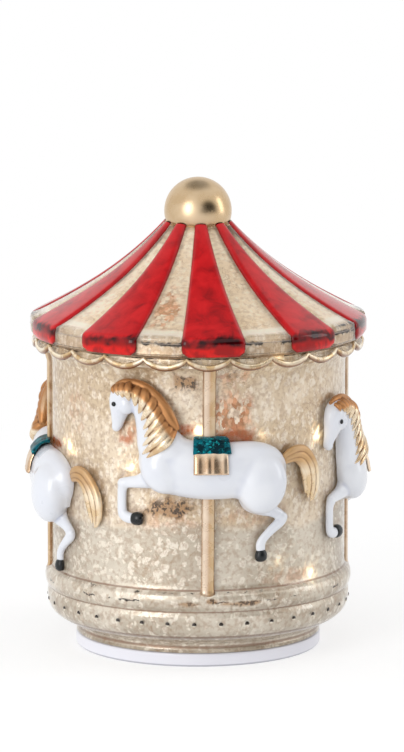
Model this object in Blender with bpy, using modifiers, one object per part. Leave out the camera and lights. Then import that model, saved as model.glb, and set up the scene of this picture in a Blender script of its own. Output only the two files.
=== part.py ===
"""Lighted carousel ornament: a blown glass tent on a glass drum, with four painted horses in relief.

Metres, +Z up. The origin is the middle of the flat underside, and the horse at the front is centred on -Y.
"""

import math

import bmesh
import bpy
from mathutils import Matrix, Vector

MM = 0.001

# What touches keeps this gap to what carries it.
GAP = 0.3 * MM

# Main sizes.
DRUM_RADIUS = 60.4 * MM
GLASS_THICKNESS = 2.4 * MM
DRUM_TOP = 114.9 * MM
EAVE_RADIUS = 67.1 * MM
EAVE_TOP = 133.6 * MM
EAVE_BOTTOM = 126.6 * MM
EAVE_SLOPE = 0.45
ROOF_TOP = 171.0 * MM
ROOF_TOP_RADIUS = 14.6 * MM
ROOF_HOLE_RADIUS = 9.5 * MM
ROOF_STATIONS = 6
ROUND_STEPS = 48

# Roof stripes.
STRIPE_COUNT = 10
STRIPE_SPAN = math.radians(20.0)
STRIPE_PHASE = math.radians(2.0)
STRIPE_THICKNESS = 0.8 * MM
STRIPE_STEPS = 3

# Scalloped trim under the eave.
LOBE_COUNT = 24
LOBE_POINTS = 4
LOBE_TOP = 126.0 * MM
LOBE_DROP = 5.2 * MM
BEAD_RADIUS = 0.9 * MM

# Finial ball.
BALL_RADIUS = 13.8 * MM
BALL_CENTRE = 175.6 * MM
BALL_WALL = 1.6 * MM
BALL_STEPS = 28

# White plastic foot with its battery box.
PLINTH_RADIUS = 49.0 * MM
PLINTH_HEIGHT = 5.3 * MM
SPIGOT_RADIUS = 45.7 * MM
SPIGOT_TOP = 12.0 * MM
BOX_LENGTH = 62.0 * MM
BOX_WIDTH = 46.0 * MM
BOX_DEPTH = 9.5 * MM
COVER_THICKNESS = 1.8 * MM
SWITCH_Y = 33.0 * MM

# Poles and horses.
HORSE_COUNT = 4
HORSE_DROP = 9.6 * MM
POLE_RADIUS = 2.1 * MM
POLE_BOTTOM = 33.9 * MM
POLE_TOP = 119.0 * MM
DEPTH_SHARE = 0.62
BLANKET_THICKNESS = 0.9 * MM
FLAP_THICKNESS = 1.1 * MM
SKIN_STEP = 0.6 * MM
BODY_FACES = 760
MANE_FACES = 320
TAIL_FACES = 180

# String of small lamps inside the glass.
WIRE_RADIUS = 0.4 * MM
LAMP_RADIUS = 1.5 * MM
COIL_RADIUS = 55.9 * MM
COIL_BOTTOM = 26.0 * MM
COIL_TOP = 121.0 * MM
COIL_TURNS = 2.25
COIL_POINTS = 54
LAMP_EVERY = 4

# Colours as linear RGB, roughness and metallic.
FINISHES = {
    "mercury_glass": ((0.78, 0.66, 0.46), 0.12, 0.5),
    "red_lacquer": ((0.62, 0.01, 0.02), 0.12, 0.0),
    "gold_paint": ((0.66, 0.46, 0.24), 0.3, 0.9),
    "white_enamel": ((0.86, 0.87, 0.90), 0.25, 0.0),
    "teal_enamel": ((0.0, 0.11, 0.14), 0.3, 0.1),
    "black_enamel": ((0.01, 0.012, 0.012), 0.3, 0.0),
    "white_plastic": ((0.83, 0.84, 0.88), 0.35, 0.0),
    "black_plastic": ((0.01, 0.01, 0.012), 0.5, 0.0),
    "lamp_wire": ((0.72, 0.45, 0.25), 0.3, 0.8),
}


def clear_scene():
    for found in list(bpy.data.objects):
        bpy.data.objects.remove(found)


def make_collections():
    parts = bpy.data.collections.new("Carousel")
    cutters = bpy.data.collections.new("Cutters")
    bpy.context.scene.collection.children.link(parts)
    bpy.context.scene.collection.children.link(cutters)
    return parts, cutters


def make_materials():
    made = {}
    for name, (colour, roughness, metallic) in FINISHES.items():
        material = bpy.data.materials.new(name)
        material.use_nodes = True
        shader = material.node_tree.nodes["Principled BSDF"]
        shader.inputs["Base Color"].default_value = (*colour, 1.0)
        shader.inputs["Roughness"].default_value = roughness
        shader.inputs["Metallic"].default_value = metallic
        made[name] = material
    return made


def add_part(name, mesh, finish):
    """Link a mesh as a named piece of the ornament."""
    mesh.materials.clear()
    mesh.materials.append(MATERIALS[finish])
    piece = bpy.data.objects.new(name, mesh)
    PARTS.objects.link(piece)
    return piece


def add_cutter(name, mesh):
    """Link a mesh as a helper that isn't part of the ornament."""
    helper = bpy.data.objects.new(name, mesh)
    helper.hide_render = True
    helper.display_type = "WIRE"
    CUTTERS.objects.link(helper)
    return helper


def evaluated_mesh(source):
    """The mesh of an object with its modifiers, caps welded, in world space."""
    bpy.context.view_layer.update()
    graph = bpy.context.evaluated_depsgraph_get()
    mesh = bpy.data.meshes.new_from_object(source.evaluated_get(graph))
    mesh.transform(source.matrix_world)
    work = bmesh.new()
    work.from_mesh(mesh)
    bmesh.ops.remove_doubles(work, verts=work.verts, dist=0.001 * MM)
    bmesh.ops.recalc_face_normals(work, faces=work.faces)
    work.to_mesh(mesh)
    work.free()
    return mesh


def profile_mesh(name, points, closed):
    """An edge chain in the XZ plane, for a Screw modifier."""
    work = bmesh.new()
    chain = [work.verts.new((radius, 0.0, height)) for radius, height in points]
    for first, second in zip(chain, chain[1:]):
        work.edges.new((first, second))
    if closed:
        work.edges.new((chain[-1], chain[0]))
    mesh = bpy.data.meshes.new(name)
    work.to_mesh(mesh)
    work.free()
    return mesh


def turn(piece, steps, angle=math.tau):
    """Spin a profile about Z."""
    screw = piece.modifiers.new("Turn", "SCREW")
    screw.axis = "Z"
    screw.angle = angle
    screw.steps = steps
    screw.render_steps = steps
    screw.use_merge_vertices = True
    screw.merge_threshold = 0.0001 * MM
    screw.use_normal_calculate = False
    return screw


def cut(piece, cutter, operation="DIFFERENCE"):
    boolean = piece.modifiers.new(cutter.name, "BOOLEAN")
    boolean.operation = operation
    boolean.solver = "EXACT"
    boolean.object = cutter
    return boolean


def cylinder_mesh(name, radius, bottom, top, sides, centre=(0.0, 0.0)):
    work = bmesh.new()
    middle = Vector((centre[0], centre[1], (bottom + top) / 2))
    bmesh.ops.create_cone(
        work,
        cap_ends=True,
        segments=sides,
        radius1=radius,
        radius2=radius,
        depth=top - bottom,
        matrix=Matrix.Translation(middle),
    )
    mesh = bpy.data.meshes.new(name)
    work.to_mesh(mesh)
    work.free()
    return mesh


def box_mesh(name, low, high):
    low, high = Vector(low), Vector(high)
    work = bmesh.new()
    size = Matrix.Diagonal((*(high - low), 1.0))
    bmesh.ops.create_cube(work, size=1.0, matrix=Matrix.Translation((low + high) / 2) @ size)
    mesh = bpy.data.meshes.new(name)
    work.to_mesh(mesh)
    work.free()
    return mesh


# Glass shell


def roof_slope(stations):
    """Points down the sagging tent, from the ball seat to the eave."""
    run = EAVE_RADIUS - ROOF_TOP_RADIUS
    sag = (ROOF_TOP - EAVE_TOP - EAVE_SLOPE * run) / run**2
    points = []
    for step in range(stations + 1):
        inward = run * (1 - step / stations)
        points.append((EAVE_RADIUS - inward, EAVE_TOP + EAVE_SLOPE * inward + sag * inward**2))
    return points


def lifted(points, distance):
    """The same line moved out from the tent, square to its slope."""
    moved = []
    for index, point in enumerate(points):
        before = Vector(points[max(index - 1, 0)])
        after = Vector(points[min(index + 1, len(points) - 1)])
        along = (after - before).normalized()
        moved.append((point[0] - along.y * distance, point[1] + along.x * distance))
    return moved


def make_roof():
    """Tent, upright fascia and the cove that runs in to the drum, as one shell."""
    cove = [
        (EAVE_RADIUS + 0.2 * MM, EAVE_BOTTOM),
        (EAVE_RADIUS - 0.4 * MM, 122.4 * MM),
        (64.6 * MM, 119.6 * MM),
        (61.9 * MM, 117.2 * MM),
        (DRUM_RADIUS, DRUM_TOP + GAP),
    ]
    inner_drum = DRUM_RADIUS - GLASS_THICKNESS
    inner_eave = EAVE_RADIUS - GLASS_THICKNESS
    inside = [
        (inner_drum, DRUM_TOP + GAP),
        (inner_drum + 1.4 * MM, 118.8 * MM),
        (inner_eave, 123.0 * MM),
        (inner_eave, 132.0 * MM),
    ]
    under_slope = list(reversed(lifted(roof_slope(4), -GLASS_THICKNESS)[:-1]))
    under_slope[-1] = (ROOF_HOLE_RADIUS, ROOF_TOP - GLASS_THICKNESS)
    seat = [(ROOF_HOLE_RADIUS, ROOF_TOP)]
    outline = seat + roof_slope(ROOF_STATIONS) + cove + inside + under_slope
    roof = add_part("roof_glass", profile_mesh("roof_glass", outline, True), "mercury_glass")
    turn(roof, ROUND_STEPS)
    return roof


def make_stripes():
    """Raised red panels, each from the ball down the tent and over the fascia."""
    lift = GAP + STRIPE_THICKNESS
    line = lifted(roof_slope(ROOF_STATIONS), lift)
    fold = lift * 1.25
    line[-1] = lifted(roof_slope(ROOF_STATIONS), fold)[-1]
    line.append((EAVE_RADIUS + fold, EAVE_TOP))
    line.append((EAVE_RADIUS + lift + 0.2 * MM, EAVE_BOTTOM + 0.4 * MM))
    mesh = profile_mesh("red_stripe", line, False)
    mesh.transform(Matrix.Rotation(-STRIPE_SPAN / 2, 4, "Z"))
    for index in range(STRIPE_COUNT):
        stripe = add_part(f"red_stripe_{index + 1:02d}", mesh, "red_lacquer")
        turn(stripe, STRIPE_STEPS, STRIPE_SPAN)
        skin = stripe.modifiers.new("Thickness", "SOLIDIFY")
        skin.thickness = STRIPE_THICKNESS
        skin.offset = -1.0
        skin.use_even_offset = True
        turn_by = -math.pi / 2 + STRIPE_PHASE + index * math.tau / STRIPE_COUNT
        stripe.rotation_euler = (0.0, 0.0, turn_by)


def make_body():
    """Drum, double ring, stud band and narrow foot, as one blown shell."""
    outside = [
        (60.4, 114.9), (60.4, 33.6), (61.3, 32.6), (61.7, 30.8), (61.2, 28.8), (61.4, 25.4),
        (60.2, 24.2), (59.6, 22.9), (60.1, 21.6), (60.0, 17.2), (59.0, 14.4), (57.0, 11.9),
        (53.4, 9.6), (48.8, 7.9), (48.4, 5.6),
    ]
    inside = [
        (46.0, 5.6), (46.0, 10.0), (52.4, 12.6), (55.6, 14.6), (57.2, 17.6), (58.0, 31.5), (58.0, 114.9),
    ]
    outline = [(radius * MM, height * MM) for radius, height in outside + inside]
    body = add_part("body_glass", profile_mesh("body_glass", outline, True), "mercury_glass")
    turn(body, ROUND_STEPS)


def cove_point(height):
    """Radius of the fascia and cove at a height, for the trim that lies on it."""
    heights = (119.6 * MM, 122.4 * MM, EAVE_BOTTOM)
    radii = (64.6 * MM, EAVE_RADIUS - 0.4 * MM, EAVE_RADIUS + 0.2 * MM)
    if height >= heights[1]:
        share = min((height - heights[1]) / (heights[2] - heights[1]), 1.0)
        return radii[1] + share * (radii[2] - radii[1])
    share = (height - heights[0]) / (heights[1] - heights[0])
    return radii[0] + share * (radii[1] - radii[0])


def make_trim():
    """A bead that hangs in 24 lobes round the bottom of the fascia."""
    curve = bpy.data.curves.new("scallop_trim", "CURVE")
    curve.dimensions = "3D"
    curve.bevel_depth = BEAD_RADIUS
    curve.bevel_resolution = 1
    spline = curve.splines.new("POLY")
    total = LOBE_COUNT * LOBE_POINTS
    spline.points.add(total - 1)
    for index in range(total):
        turned = (index / total) * math.tau - math.pi / 2
        share = (index % LOBE_POINTS) / LOBE_POINTS + 0.5
        drop = abs(math.cos(math.pi * (share - 0.5))) if LOBE_POINTS else 0.0
        height = LOBE_TOP - LOBE_DROP * drop
        radius = cove_point(height) + BEAD_RADIUS + GAP + 0.15 * MM
        spline.points[index].co = (radius * math.cos(turned), radius * math.sin(turned), height, 1.0)
    spline.use_cyclic_u = True
    guide = bpy.data.objects.new("scallop_trim_line", curve)
    CUTTERS.objects.link(guide)
    mesh = evaluated_mesh(guide)
    bpy.data.objects.remove(guide)
    add_part("scallop_trim", mesh, "gold_paint")


def make_ball():
    """Hollow ball, cut flat where it sits on the roof."""
    seat = ROOF_TOP + GAP
    lowest = math.asin((seat - BALL_CENTRE) / BALL_RADIUS)
    inner = BALL_RADIUS - BALL_WALL
    inner_lowest = math.asin((seat - BALL_CENTRE) / inner)
    outside = []
    for step in range(9):
        angle = math.pi / 2 + (lowest - math.pi / 2) * step / 8
        outside.append((BALL_RADIUS * math.cos(angle), BALL_CENTRE + BALL_RADIUS * math.sin(angle)))
    inside = []
    for step in range(6):
        angle = inner_lowest + (math.pi / 2 - inner_lowest) * step / 5
        inside.append((inner * math.cos(angle), BALL_CENTRE + inner * math.sin(angle)))
    outside[0] = (0.0, BALL_CENTRE + BALL_RADIUS)
    inside[-1] = (0.0, BALL_CENTRE + inner)
    ball = add_part("finial_ball", profile_mesh("finial_ball", outside + inside, False), "gold_paint")
    turn(ball, BALL_STEPS)


# Plastic foot


def make_plinth():
    soft = 0.6 * MM
    outline = [
        (0.0, SPIGOT_TOP),
        (SPIGOT_RADIUS, SPIGOT_TOP),
        (SPIGOT_RADIUS, PLINTH_HEIGHT),
        (PLINTH_RADIUS - soft, PLINTH_HEIGHT),
        (PLINTH_RADIUS, PLINTH_HEIGHT - soft),
        (PLINTH_RADIUS, soft),
        (PLINTH_RADIUS - soft, 0.0),
        (0.0, 0.0),
    ]
    plinth = add_part("plinth", profile_mesh("plinth", outline, False), "white_plastic")
    turn(plinth, ROUND_STEPS)
    half = (BOX_LENGTH / 2, BOX_WIDTH / 2)
    low = (-half[0], -half[1], -1.0 * MM)
    high = (half[0], half[1], BOX_DEPTH)
    cut(plinth, add_cutter("battery_box_cutter", box_mesh("battery_box", low, high)))
    low = (-6.0 * MM, SWITCH_Y - 3.0 * MM, -1.0 * MM)
    high = (6.0 * MM, SWITCH_Y + 3.0 * MM, 2.6 * MM)
    cut(plinth, add_cutter("switch_slot_cutter", box_mesh("switch_slot", low, high)))
    return plinth


def make_cover():
    """Battery door, a plate that lies just inside the underside."""
    low = (-BOX_LENGTH / 2 + GAP, -BOX_WIDTH / 2 + GAP, 0.3 * MM)
    high = (BOX_LENGTH / 2 - GAP, BOX_WIDTH / 2 - GAP, 0.3 * MM + COVER_THICKNESS)
    cover = add_part("battery_cover", box_mesh("battery_cover", low, high), "white_plastic")
    low = (BOX_LENGTH / 2 - 9.0 * MM, -4.0 * MM, -1.0 * MM)
    high = (BOX_LENGTH / 2 - 4.0 * MM, 4.0 * MM, 0.9 * MM)
    cut(cover, add_cutter("finger_notch_cutter", box_mesh("finger_notch", low, high)))


def make_switch():
    low = (-4.0 * MM, SWITCH_Y - 3.0 * MM + GAP, 0.4 * MM)
    high = (0.5 * MM, SWITCH_Y + 3.0 * MM - GAP, 2.6 * MM - GAP)
    add_part("light_switch", box_mesh("light_switch", low, high), "black_plastic")


# Lamp string


def make_lamp_string():
    """Copper wire that climbs the inside of the glass, with a small lamp every few points."""
    curve = bpy.data.curves.new("lamp_string", "CURVE")
    curve.dimensions = "3D"
    curve.bevel_depth = WIRE_RADIUS
    curve.bevel_resolution = 1
    curve.use_fill_caps = True
    lead = [(30.0, 12.3), (31.0, 15.0), (36.0, 17.5), (43.0, 19.5), (49.5, 21.8)]
    start = math.radians(-150.0)
    points = [
        Vector((radius * MM * math.cos(start), radius * MM * math.sin(start), height * MM))
        for radius, height in lead
    ]
    for index in range(COIL_POINTS):
        share = index / (COIL_POINTS - 1)
        turned = start + math.radians(8.0) + share * COIL_TURNS * math.tau
        height = COIL_BOTTOM + share * (COIL_TOP - COIL_BOTTOM)
        points.append(Vector((COIL_RADIUS * math.cos(turned), COIL_RADIUS * math.sin(turned), height)))
    spline = curve.splines.new("POLY")
    spline.points.add(len(points) - 1)
    for index, point in enumerate(points):
        spline.points[index].co = (*point, 1.0)
        lamp = index >= len(lead) and (index - len(lead)) % LAMP_EVERY == 2
        spline.points[index].radius = LAMP_RADIUS / WIRE_RADIUS if lamp else 1.0
    guide = bpy.data.objects.new("lamp_string_line", curve)
    CUTTERS.objects.link(guide)
    mesh = evaluated_mesh(guide)
    bpy.data.objects.remove(guide)
    add_part("lamp_string", mesh, "lamp_wire")


# Horses in relief: stations are (along the drum, height, outwards, radius) in millimetres, and the
# horse faces -X. Along counts from the pole, and height from the ground for the raised horses.

TRUNK = [
    (-27.0, 82.0, 1.0, 2.5), (-24.8, 82.4, 1.0, 6.6), (-18.0, 83.0, 1.0, 10.4), (-7.0, 82.4, 0.8, 11.9),
    (2.0, 81.5, 0.8, 12.0), (11.0, 81.2, 0.8, 11.8), (19.5, 81.0, 0.8, 11.9), (25.5, 80.2, 0.8, 10.4),
    (29.5, 79.4, 0.8, 7.0), (31.4, 79.0, 0.8, 2.5),
]
NECK = [
    (-12.5, 86.0, 0.8, 9.5), (-16.5, 91.5, 0.9, 9.4), (-19.6, 97.0, 1.0, 7.6), (-22.6, 102.2, 1.3, 6.2),
    (-26.0, 107.4, 2.0, 5.3), (-29.0, 110.8, 2.4, 4.0),
]
HEAD = [
    (-26.6, 110.8, 2.0, 3.0), (-30.5, 109.8, 2.8, 4.8), (-33.6, 107.0, 3.0, 5.4), (-34.7, 103.2, 2.6, 4.6),
    (-35.9, 99.4, 1.6, 3.4), (-36.6, 96.8, 1.0, 2.7), (-36.8, 94.6, 0.8, 1.9),
]
FORE_LEG = [
    (-20.0, 79.0, 1.2, 5.0), (-24.6, 76.6, 1.0, 3.7), (-29.0, 75.7, 0.9, 2.5), (-32.6, 74.6, 0.8, 2.2),
    (-33.9, 71.2, 0.8, 1.9), (-34.1, 65.4, 0.8, 1.8), (-33.2, 62.2, 0.8, 2.0), (-30.3, 61.4, 0.8, 1.9),
]
FORE_HOOF = [(-29.9, 61.3, 0.9, 1.9), (-27.8, 61.0, 0.9, 2.5), (-25.8, 60.6, 0.9, 2.1)]
HIND_LEG = [
    (20.0, 79.0, 1.0, 10.8), (20.6, 73.0, 1.0, 9.0), (22.4, 68.0, 0.9, 6.0), (26.4, 64.0, 0.8, 3.4),
    (29.7, 61.0, 0.8, 2.4), (27.4, 58.2, 0.8, 2.0), (23.4, 54.6, 0.8, 1.8), (21.1, 51.2, 0.8, 1.9),
    (21.0, 48.8, 0.8, 1.9),
]
HIND_HOOF = [(21.0, 48.4, 0.9, 1.9), (21.3, 46.2, 0.9, 2.5), (21.7, 44.2, 0.9, 2.3)]
CREST = [
    (-38.2, 112.2, 2.2, 0.8), (-36.4, 114.2, 2.6, 1.8), (-32.6, 115.2, 3.0, 2.6), (-27.0, 114.2, 3.4, 3.4),
    (-21.4, 110.4, 3.6, 4.2), (-16.4, 104.8, 3.8, 4.2), (-13.0, 99.6, 4.0, 3.0), (-11.2, 96.4, 4.2, 1.4),
]
LOCKS = [
    [(-30.4, 113.0, 4.4, 2.6), (-31.2, 109.4, 5.6, 1.8), (-31.4, 105.8, 5.4, 0.5)],
    [(-26.0, 111.0, 4.4, 3.4), (-28.0, 106.2, 5.8, 2.4), (-28.4, 101.6, 5.6, 0.5)],
    [(-21.5, 107.5, 4.4, 3.6), (-25.0, 101.6, 6.2, 2.6), (-26.6, 96.4, 6.0, 0.5)],
    [(-17.0, 103.0, 4.6, 3.6), (-21.0, 96.6, 6.8, 2.6), (-24.4, 91.4, 6.8, 0.5)],
    [(-13.5, 99.0, 5.0, 2.8), (-16.8, 92.8, 7.2, 2.2), (-20.6, 87.6, 8.0, 0.5)],
]
TAIL_TOP = [
    (31.8, 83.4, 0.8, 1.5), (34.0, 86.2, 1.0, 2.2), (38.0, 87.4, 1.0, 2.5), (41.8, 84.8, 1.0, 2.4),
    (43.6, 79.0, 0.9, 2.4), (43.8, 71.6, 0.8, 2.2), (42.4, 65.6, 0.8, 1.4), (40.6, 61.8, 0.8, 0.4),
]
TAIL_UNDER = [
    (32.3, 82.0, 0.6, 1.2), (36.4, 83.2, 0.6, 2.0), (39.2, 79.4, 0.6, 2.4), (40.0, 72.0, 0.6, 2.2),
    (38.8, 66.0, 0.6, 0.5),
]

BLANKET = ((-5.3, 89.3), (7.9, 97.5))
FLAP = ((-4.9, 80.8), (6.5, 89.0))


def limb_mesh(name, stations, roundness):
    """A tapered tube through the stations, still flat and not yet bent round the drum."""
    curve = bpy.data.curves.new(name, "CURVE")
    curve.dimensions = "3D"
    curve.bevel_depth = 1.0 * MM
    curve.bevel_resolution = roundness
    curve.use_fill_caps = True
    spline = curve.splines.new("POLY")
    spline.points.add(len(stations) - 1)
    for point, (along, height, out, radius) in zip(spline.points, stations):
        point.co = (along * MM, -out * MM / DEPTH_SHARE, height * MM, 1.0)
        point.radius = radius
    guide = bpy.data.objects.new(name, curve)
    CUTTERS.objects.link(guide)
    mesh = evaluated_mesh(guide)
    bpy.data.objects.remove(guide)
    mesh.transform(Matrix.Diagonal((1.0, DEPTH_SHARE, 1.0, 1.0)))
    return mesh


def bend_round_drum(mesh):
    """Carry a flat relief, whose back is at Y = 0, onto the front of the drum."""
    for vertex in mesh.vertices:
        along, outwards, height = vertex.co.x, -vertex.co.y, vertex.co.z
        angle = along / DRUM_RADIUS
        radius = DRUM_RADIUS + outwards
        vertex.co = (radius * math.sin(angle), -radius * math.cos(angle), height)


def joined(name, meshes):
    """One closed mesh from several that overlap."""
    first = add_cutter(name, meshes[0])
    others = [add_cutter(f"{name}_{index}", mesh) for index, mesh in enumerate(meshes[1:])]
    for other in others:
        cut(first, other, "UNION").use_self = True
    mesh = evaluated_mesh(first)
    for helper in [first, *others]:
        bpy.data.objects.remove(helper)
    return mesh


def reskinned(name, mesh, faces):
    """The same form under one even skin, thinned to a number of triangles."""
    helper = add_cutter(name, mesh)
    skin = helper.modifiers.new("Skin", "REMESH")
    skin.mode = "VOXEL"
    skin.voxel_size = SKIN_STEP
    even = evaluated_mesh(helper)
    bpy.data.objects.remove(helper)
    triangles = sum(len(polygon.vertices) - 2 for polygon in even.polygons)
    helper = add_cutter(name, even)
    thin = helper.modifiers.new("Thin", "DECIMATE")
    thin.ratio = min(faces / triangles, 1.0)
    mesh = evaluated_mesh(helper)
    bpy.data.objects.remove(helper)
    return without_slivers(mesh)


def grown(name, mesh, distance):
    """A helper with the mesh moved out along its normals."""
    helper = add_cutter(name, mesh.copy())
    swell = helper.modifiers.new("Swell", "DISPLACE")
    swell.strength = distance
    swell.mid_level = 0.0
    return helper


def without_slivers(mesh):
    """Keep the largest body of a mesh, and drop the crumbs that a cut leaves beside it."""
    work = bmesh.new()
    work.from_mesh(mesh)
    unseen = set(work.verts)
    bodies = []
    while unseen:
        reached = {unseen.pop()}
        front = set(reached)
        while front:
            front = {
                edge.other_vert(vertex) for vertex in front for edge in vertex.link_edges
            } - reached
            reached |= front
        unseen -= reached
        bodies.append(reached)
    bodies.sort(key=len)
    crumbs = [vertex for body in bodies[:-1] for vertex in body]
    bmesh.ops.delete(work, geom=crumbs, context="VERTS")
    work.to_mesh(mesh)
    work.free()
    return mesh


def trimmed(name, mesh, cutters, operation="DIFFERENCE"):
    """The mesh after it is cut by each helper in turn."""
    helper = add_cutter(name, mesh)
    for cutter in cutters:
        cut(helper, cutter, operation).use_self = True
    mesh = evaluated_mesh(helper)
    bpy.data.objects.remove(helper)
    return without_slivers(mesh)


def saddle_mesh(name, barrel, span, thickness):
    """A patch of the barrel's skin, grown to its thickness, inside a span of the front."""
    (left, low), (right, high) = span
    corners = ((left * MM, -78.0 * MM, low * MM), (right * MM, -DRUM_RADIUS - 0.6 * MM, high * MM))
    window = add_cutter(f"{name}_window", box_mesh(f"{name}_window", *corners))
    outer = grown(f"{name}_outer", barrel, GAP + thickness)
    inner = grown(f"{name}_inner", barrel, GAP)
    patch = trimmed(name, window.data.copy(), [outer], "INTERSECT")
    return trimmed(name, patch, [inner])


def horse_meshes():
    """The pieces of the raised horse at the front, by name."""
    drum = add_cutter(
        "drum_cutter",
        cylinder_mesh("drum_cutter", DRUM_RADIUS + GAP, 20 * MM, 140 * MM, ROUND_STEPS),
    )
    groove = add_cutter(
        "pole_groove_cutter",
        cylinder_mesh(
            "pole_groove", POLE_RADIUS + GAP, 20 * MM, 140 * MM, 12, (0.0, -DRUM_RADIUS - GAP)
        ),
    )

    def bent(name, stations, roundness):
        mesh = limb_mesh(name, stations, roundness)
        bend_round_drum(mesh)
        return mesh

    barrel = bent("barrel", TRUNK, 4)
    whole = joined(
        "horse_whole",
        [
            barrel.copy(),
            bent("neck", NECK, 4),
            bent("head", HEAD, 4),
            bent("fore_leg", FORE_LEG, 3),
            bent("hind_leg", HIND_LEG, 3),
        ],
    )
    whole = reskinned("horse_skin", whole, BODY_FACES)
    near_body = grown("near_body_cutter", whole, 2 * GAP)
    mane = joined(
        "mane_whole",
        [bent("crest", CREST, 3)] + [bent(f"lock_{i}", lock, 3) for i, lock in enumerate(LOCKS)],
    )
    mane = reskinned("mane_skin", trimmed("mane_cut", mane, [near_body]), MANE_FACES)
    tail = joined("tail_whole", [bent("tail_top", TAIL_TOP, 2), bent("tail_under", TAIL_UNDER, 2)])
    tail = reskinned("tail_skin", trimmed("tail_cut", tail, [near_body]), TAIL_FACES)
    blanket = saddle_mesh("blanket", barrel, BLANKET, BLANKET_THICKNESS)
    return {
        "body": (trimmed("body", whole.copy(), [drum, groove]), "white_enamel"),
        "mane": (trimmed("mane", mane, [drum]), "gold_paint"),
        "tail": (trimmed("tail", tail, [drum]), "gold_paint"),
        "blanket": (trimmed("blanket_cut", blanket, [groove]), "teal_enamel"),
        "saddle_flap": (saddle_mesh("flap", barrel, FLAP, FLAP_THICKNESS), "gold_paint"),
        "fore_hoof": (trimmed("fore_hoof", bent("fore_hoof", FORE_HOOF, 2), [drum]), "black_enamel"),
        "hind_hoof": (trimmed("hind_hoof", bent("hind_hoof", HIND_HOOF, 2), [drum]), "black_enamel"),
    }


def make_horses():
    """Four horses a quarter turn apart, every second one set lower on its pole."""
    pieces = horse_meshes()
    for index in range(HORSE_COUNT):
        turned = index * math.tau / HORSE_COUNT
        drop = HORSE_DROP if index % 2 else 0.0
        for name, (mesh, finish) in pieces.items():
            piece = add_part(f"horse_{index + 1}_{name}", mesh, finish)
            piece.rotation_euler = (0.0, 0.0, turned)
            piece.location = (0.0, 0.0, -drop)


def make_poles():
    """Half-round poles on the glass, from the ring up to the cove."""
    drum = bpy.data.objects["drum_cutter"]
    slope = [
        (DRUM_RADIUS, DRUM_TOP - GAP),
        (61.9 * MM, 117.2 * MM - GAP),
        (64.6 * MM, 119.6 * MM - GAP),
        (64.6 * MM, 125.0 * MM),
        (50.0 * MM, 125.0 * MM),
        (50.0 * MM, DRUM_TOP - GAP),
    ]
    cove = add_cutter("cove_cutter", profile_mesh("cove_cutter", list(reversed(slope)), True))
    turn(cove, ROUND_STEPS)
    mesh = cylinder_mesh("pole", POLE_RADIUS, POLE_BOTTOM, POLE_TOP, 12, (0.0, -DRUM_RADIUS - GAP))
    mesh = trimmed("pole_whole", mesh, [drum, cove])
    for index in range(HORSE_COUNT):
        pole = add_part(f"pole_{index + 1}", mesh, "gold_paint")
        pole.rotation_euler = (0.0, 0.0, index * math.tau / HORSE_COUNT)


clear_scene()
PARTS, CUTTERS = make_collections()
MATERIALS = make_materials()
make_roof()
make_stripes()
make_body()
make_trim()
make_ball()
make_plinth()
make_cover()
make_switch()
make_lamp_string()
make_horses()
make_poles()
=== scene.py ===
import math

import bmesh
import bpy
from mathutils import Matrix, Vector, kdtree, noise
from mathutils.bvhtree import BVHTree


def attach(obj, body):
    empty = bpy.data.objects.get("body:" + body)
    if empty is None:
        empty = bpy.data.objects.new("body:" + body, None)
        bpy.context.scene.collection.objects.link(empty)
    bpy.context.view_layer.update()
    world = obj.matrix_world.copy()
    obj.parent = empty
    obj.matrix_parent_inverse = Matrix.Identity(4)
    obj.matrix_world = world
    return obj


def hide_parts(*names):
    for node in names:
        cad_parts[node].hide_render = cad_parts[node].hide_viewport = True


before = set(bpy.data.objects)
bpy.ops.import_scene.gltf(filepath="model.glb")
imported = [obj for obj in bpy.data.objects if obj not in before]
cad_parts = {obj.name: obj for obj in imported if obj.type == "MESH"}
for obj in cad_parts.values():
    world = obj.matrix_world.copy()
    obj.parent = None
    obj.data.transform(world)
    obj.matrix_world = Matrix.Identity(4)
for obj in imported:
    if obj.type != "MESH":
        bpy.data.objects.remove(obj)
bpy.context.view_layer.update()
scene = bpy.context.scene
mm = 0.001


# colours, nodes and small helpers

def hexColour(text):
    channels = [int(text[place:place + 2], 16) / 255 for place in (1, 3, 5)]
    linear = [c / 12.92 if c <= 0.04045 else ((c + 0.055) / 1.055) ** 2.4 for c in channels]
    return (*linear, 1.0)


def setInputs(tree, node, values):
    # a value is plain, an sRGB hex colour, or a socket to link
    for name, value in values.items():
        if isinstance(value, bpy.types.NodeSocket):
            tree.links.new(value, node.inputs[name])
        else:
            node.inputs[name].default_value = hexColour(value) if isinstance(value, str) else value


# what a node of each kind does here unless it is told otherwise
usual = {
    "Math": {"operation": "MULTIPLY"}, "Mix": {"data_type": "RGBA"}, "Attribute": {"output": "Fac"},
    "MapRange": {"interpolation_type": "SMOOTHSTEP"}, "TexCoord": {"output": "Object"},
    "SeparateXYZ": {"output": "Z"}, "LayerWeight": {"output": "Facing"},
    "TexNoise": {"Detail": 2.0, "Roughness": 0.55, "Distortion": 0.0},
}


def addNode(tree, kind, *values, stops=(), **options):
    # values go to the inputs that the node shows, in turn; an option is a setting, or an input by its name
    node = tree.nodes.new("ShaderNode" + kind)
    options = {"output": None, **usual.get(kind, {}), **options}
    output = options.pop("output")
    for name in [name for name in options if name not in node.inputs]:
        setattr(node, name, options.pop(name))
    shown = [place for place, socket in enumerate(node.inputs) if socket.enabled]
    setInputs(tree, node, {**dict(zip(shown, values)), **options})
    for place, (position, colour) in enumerate(stops):
        elements = node.color_ramp.elements
        stop = elements[place] if place < len(elements) else elements.new(1.0)
        stop.position = position
        stop.color = hexColour(colour)
    return node.outputs[output] if output else next(socket for socket in node.outputs if socket.enabled)


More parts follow.
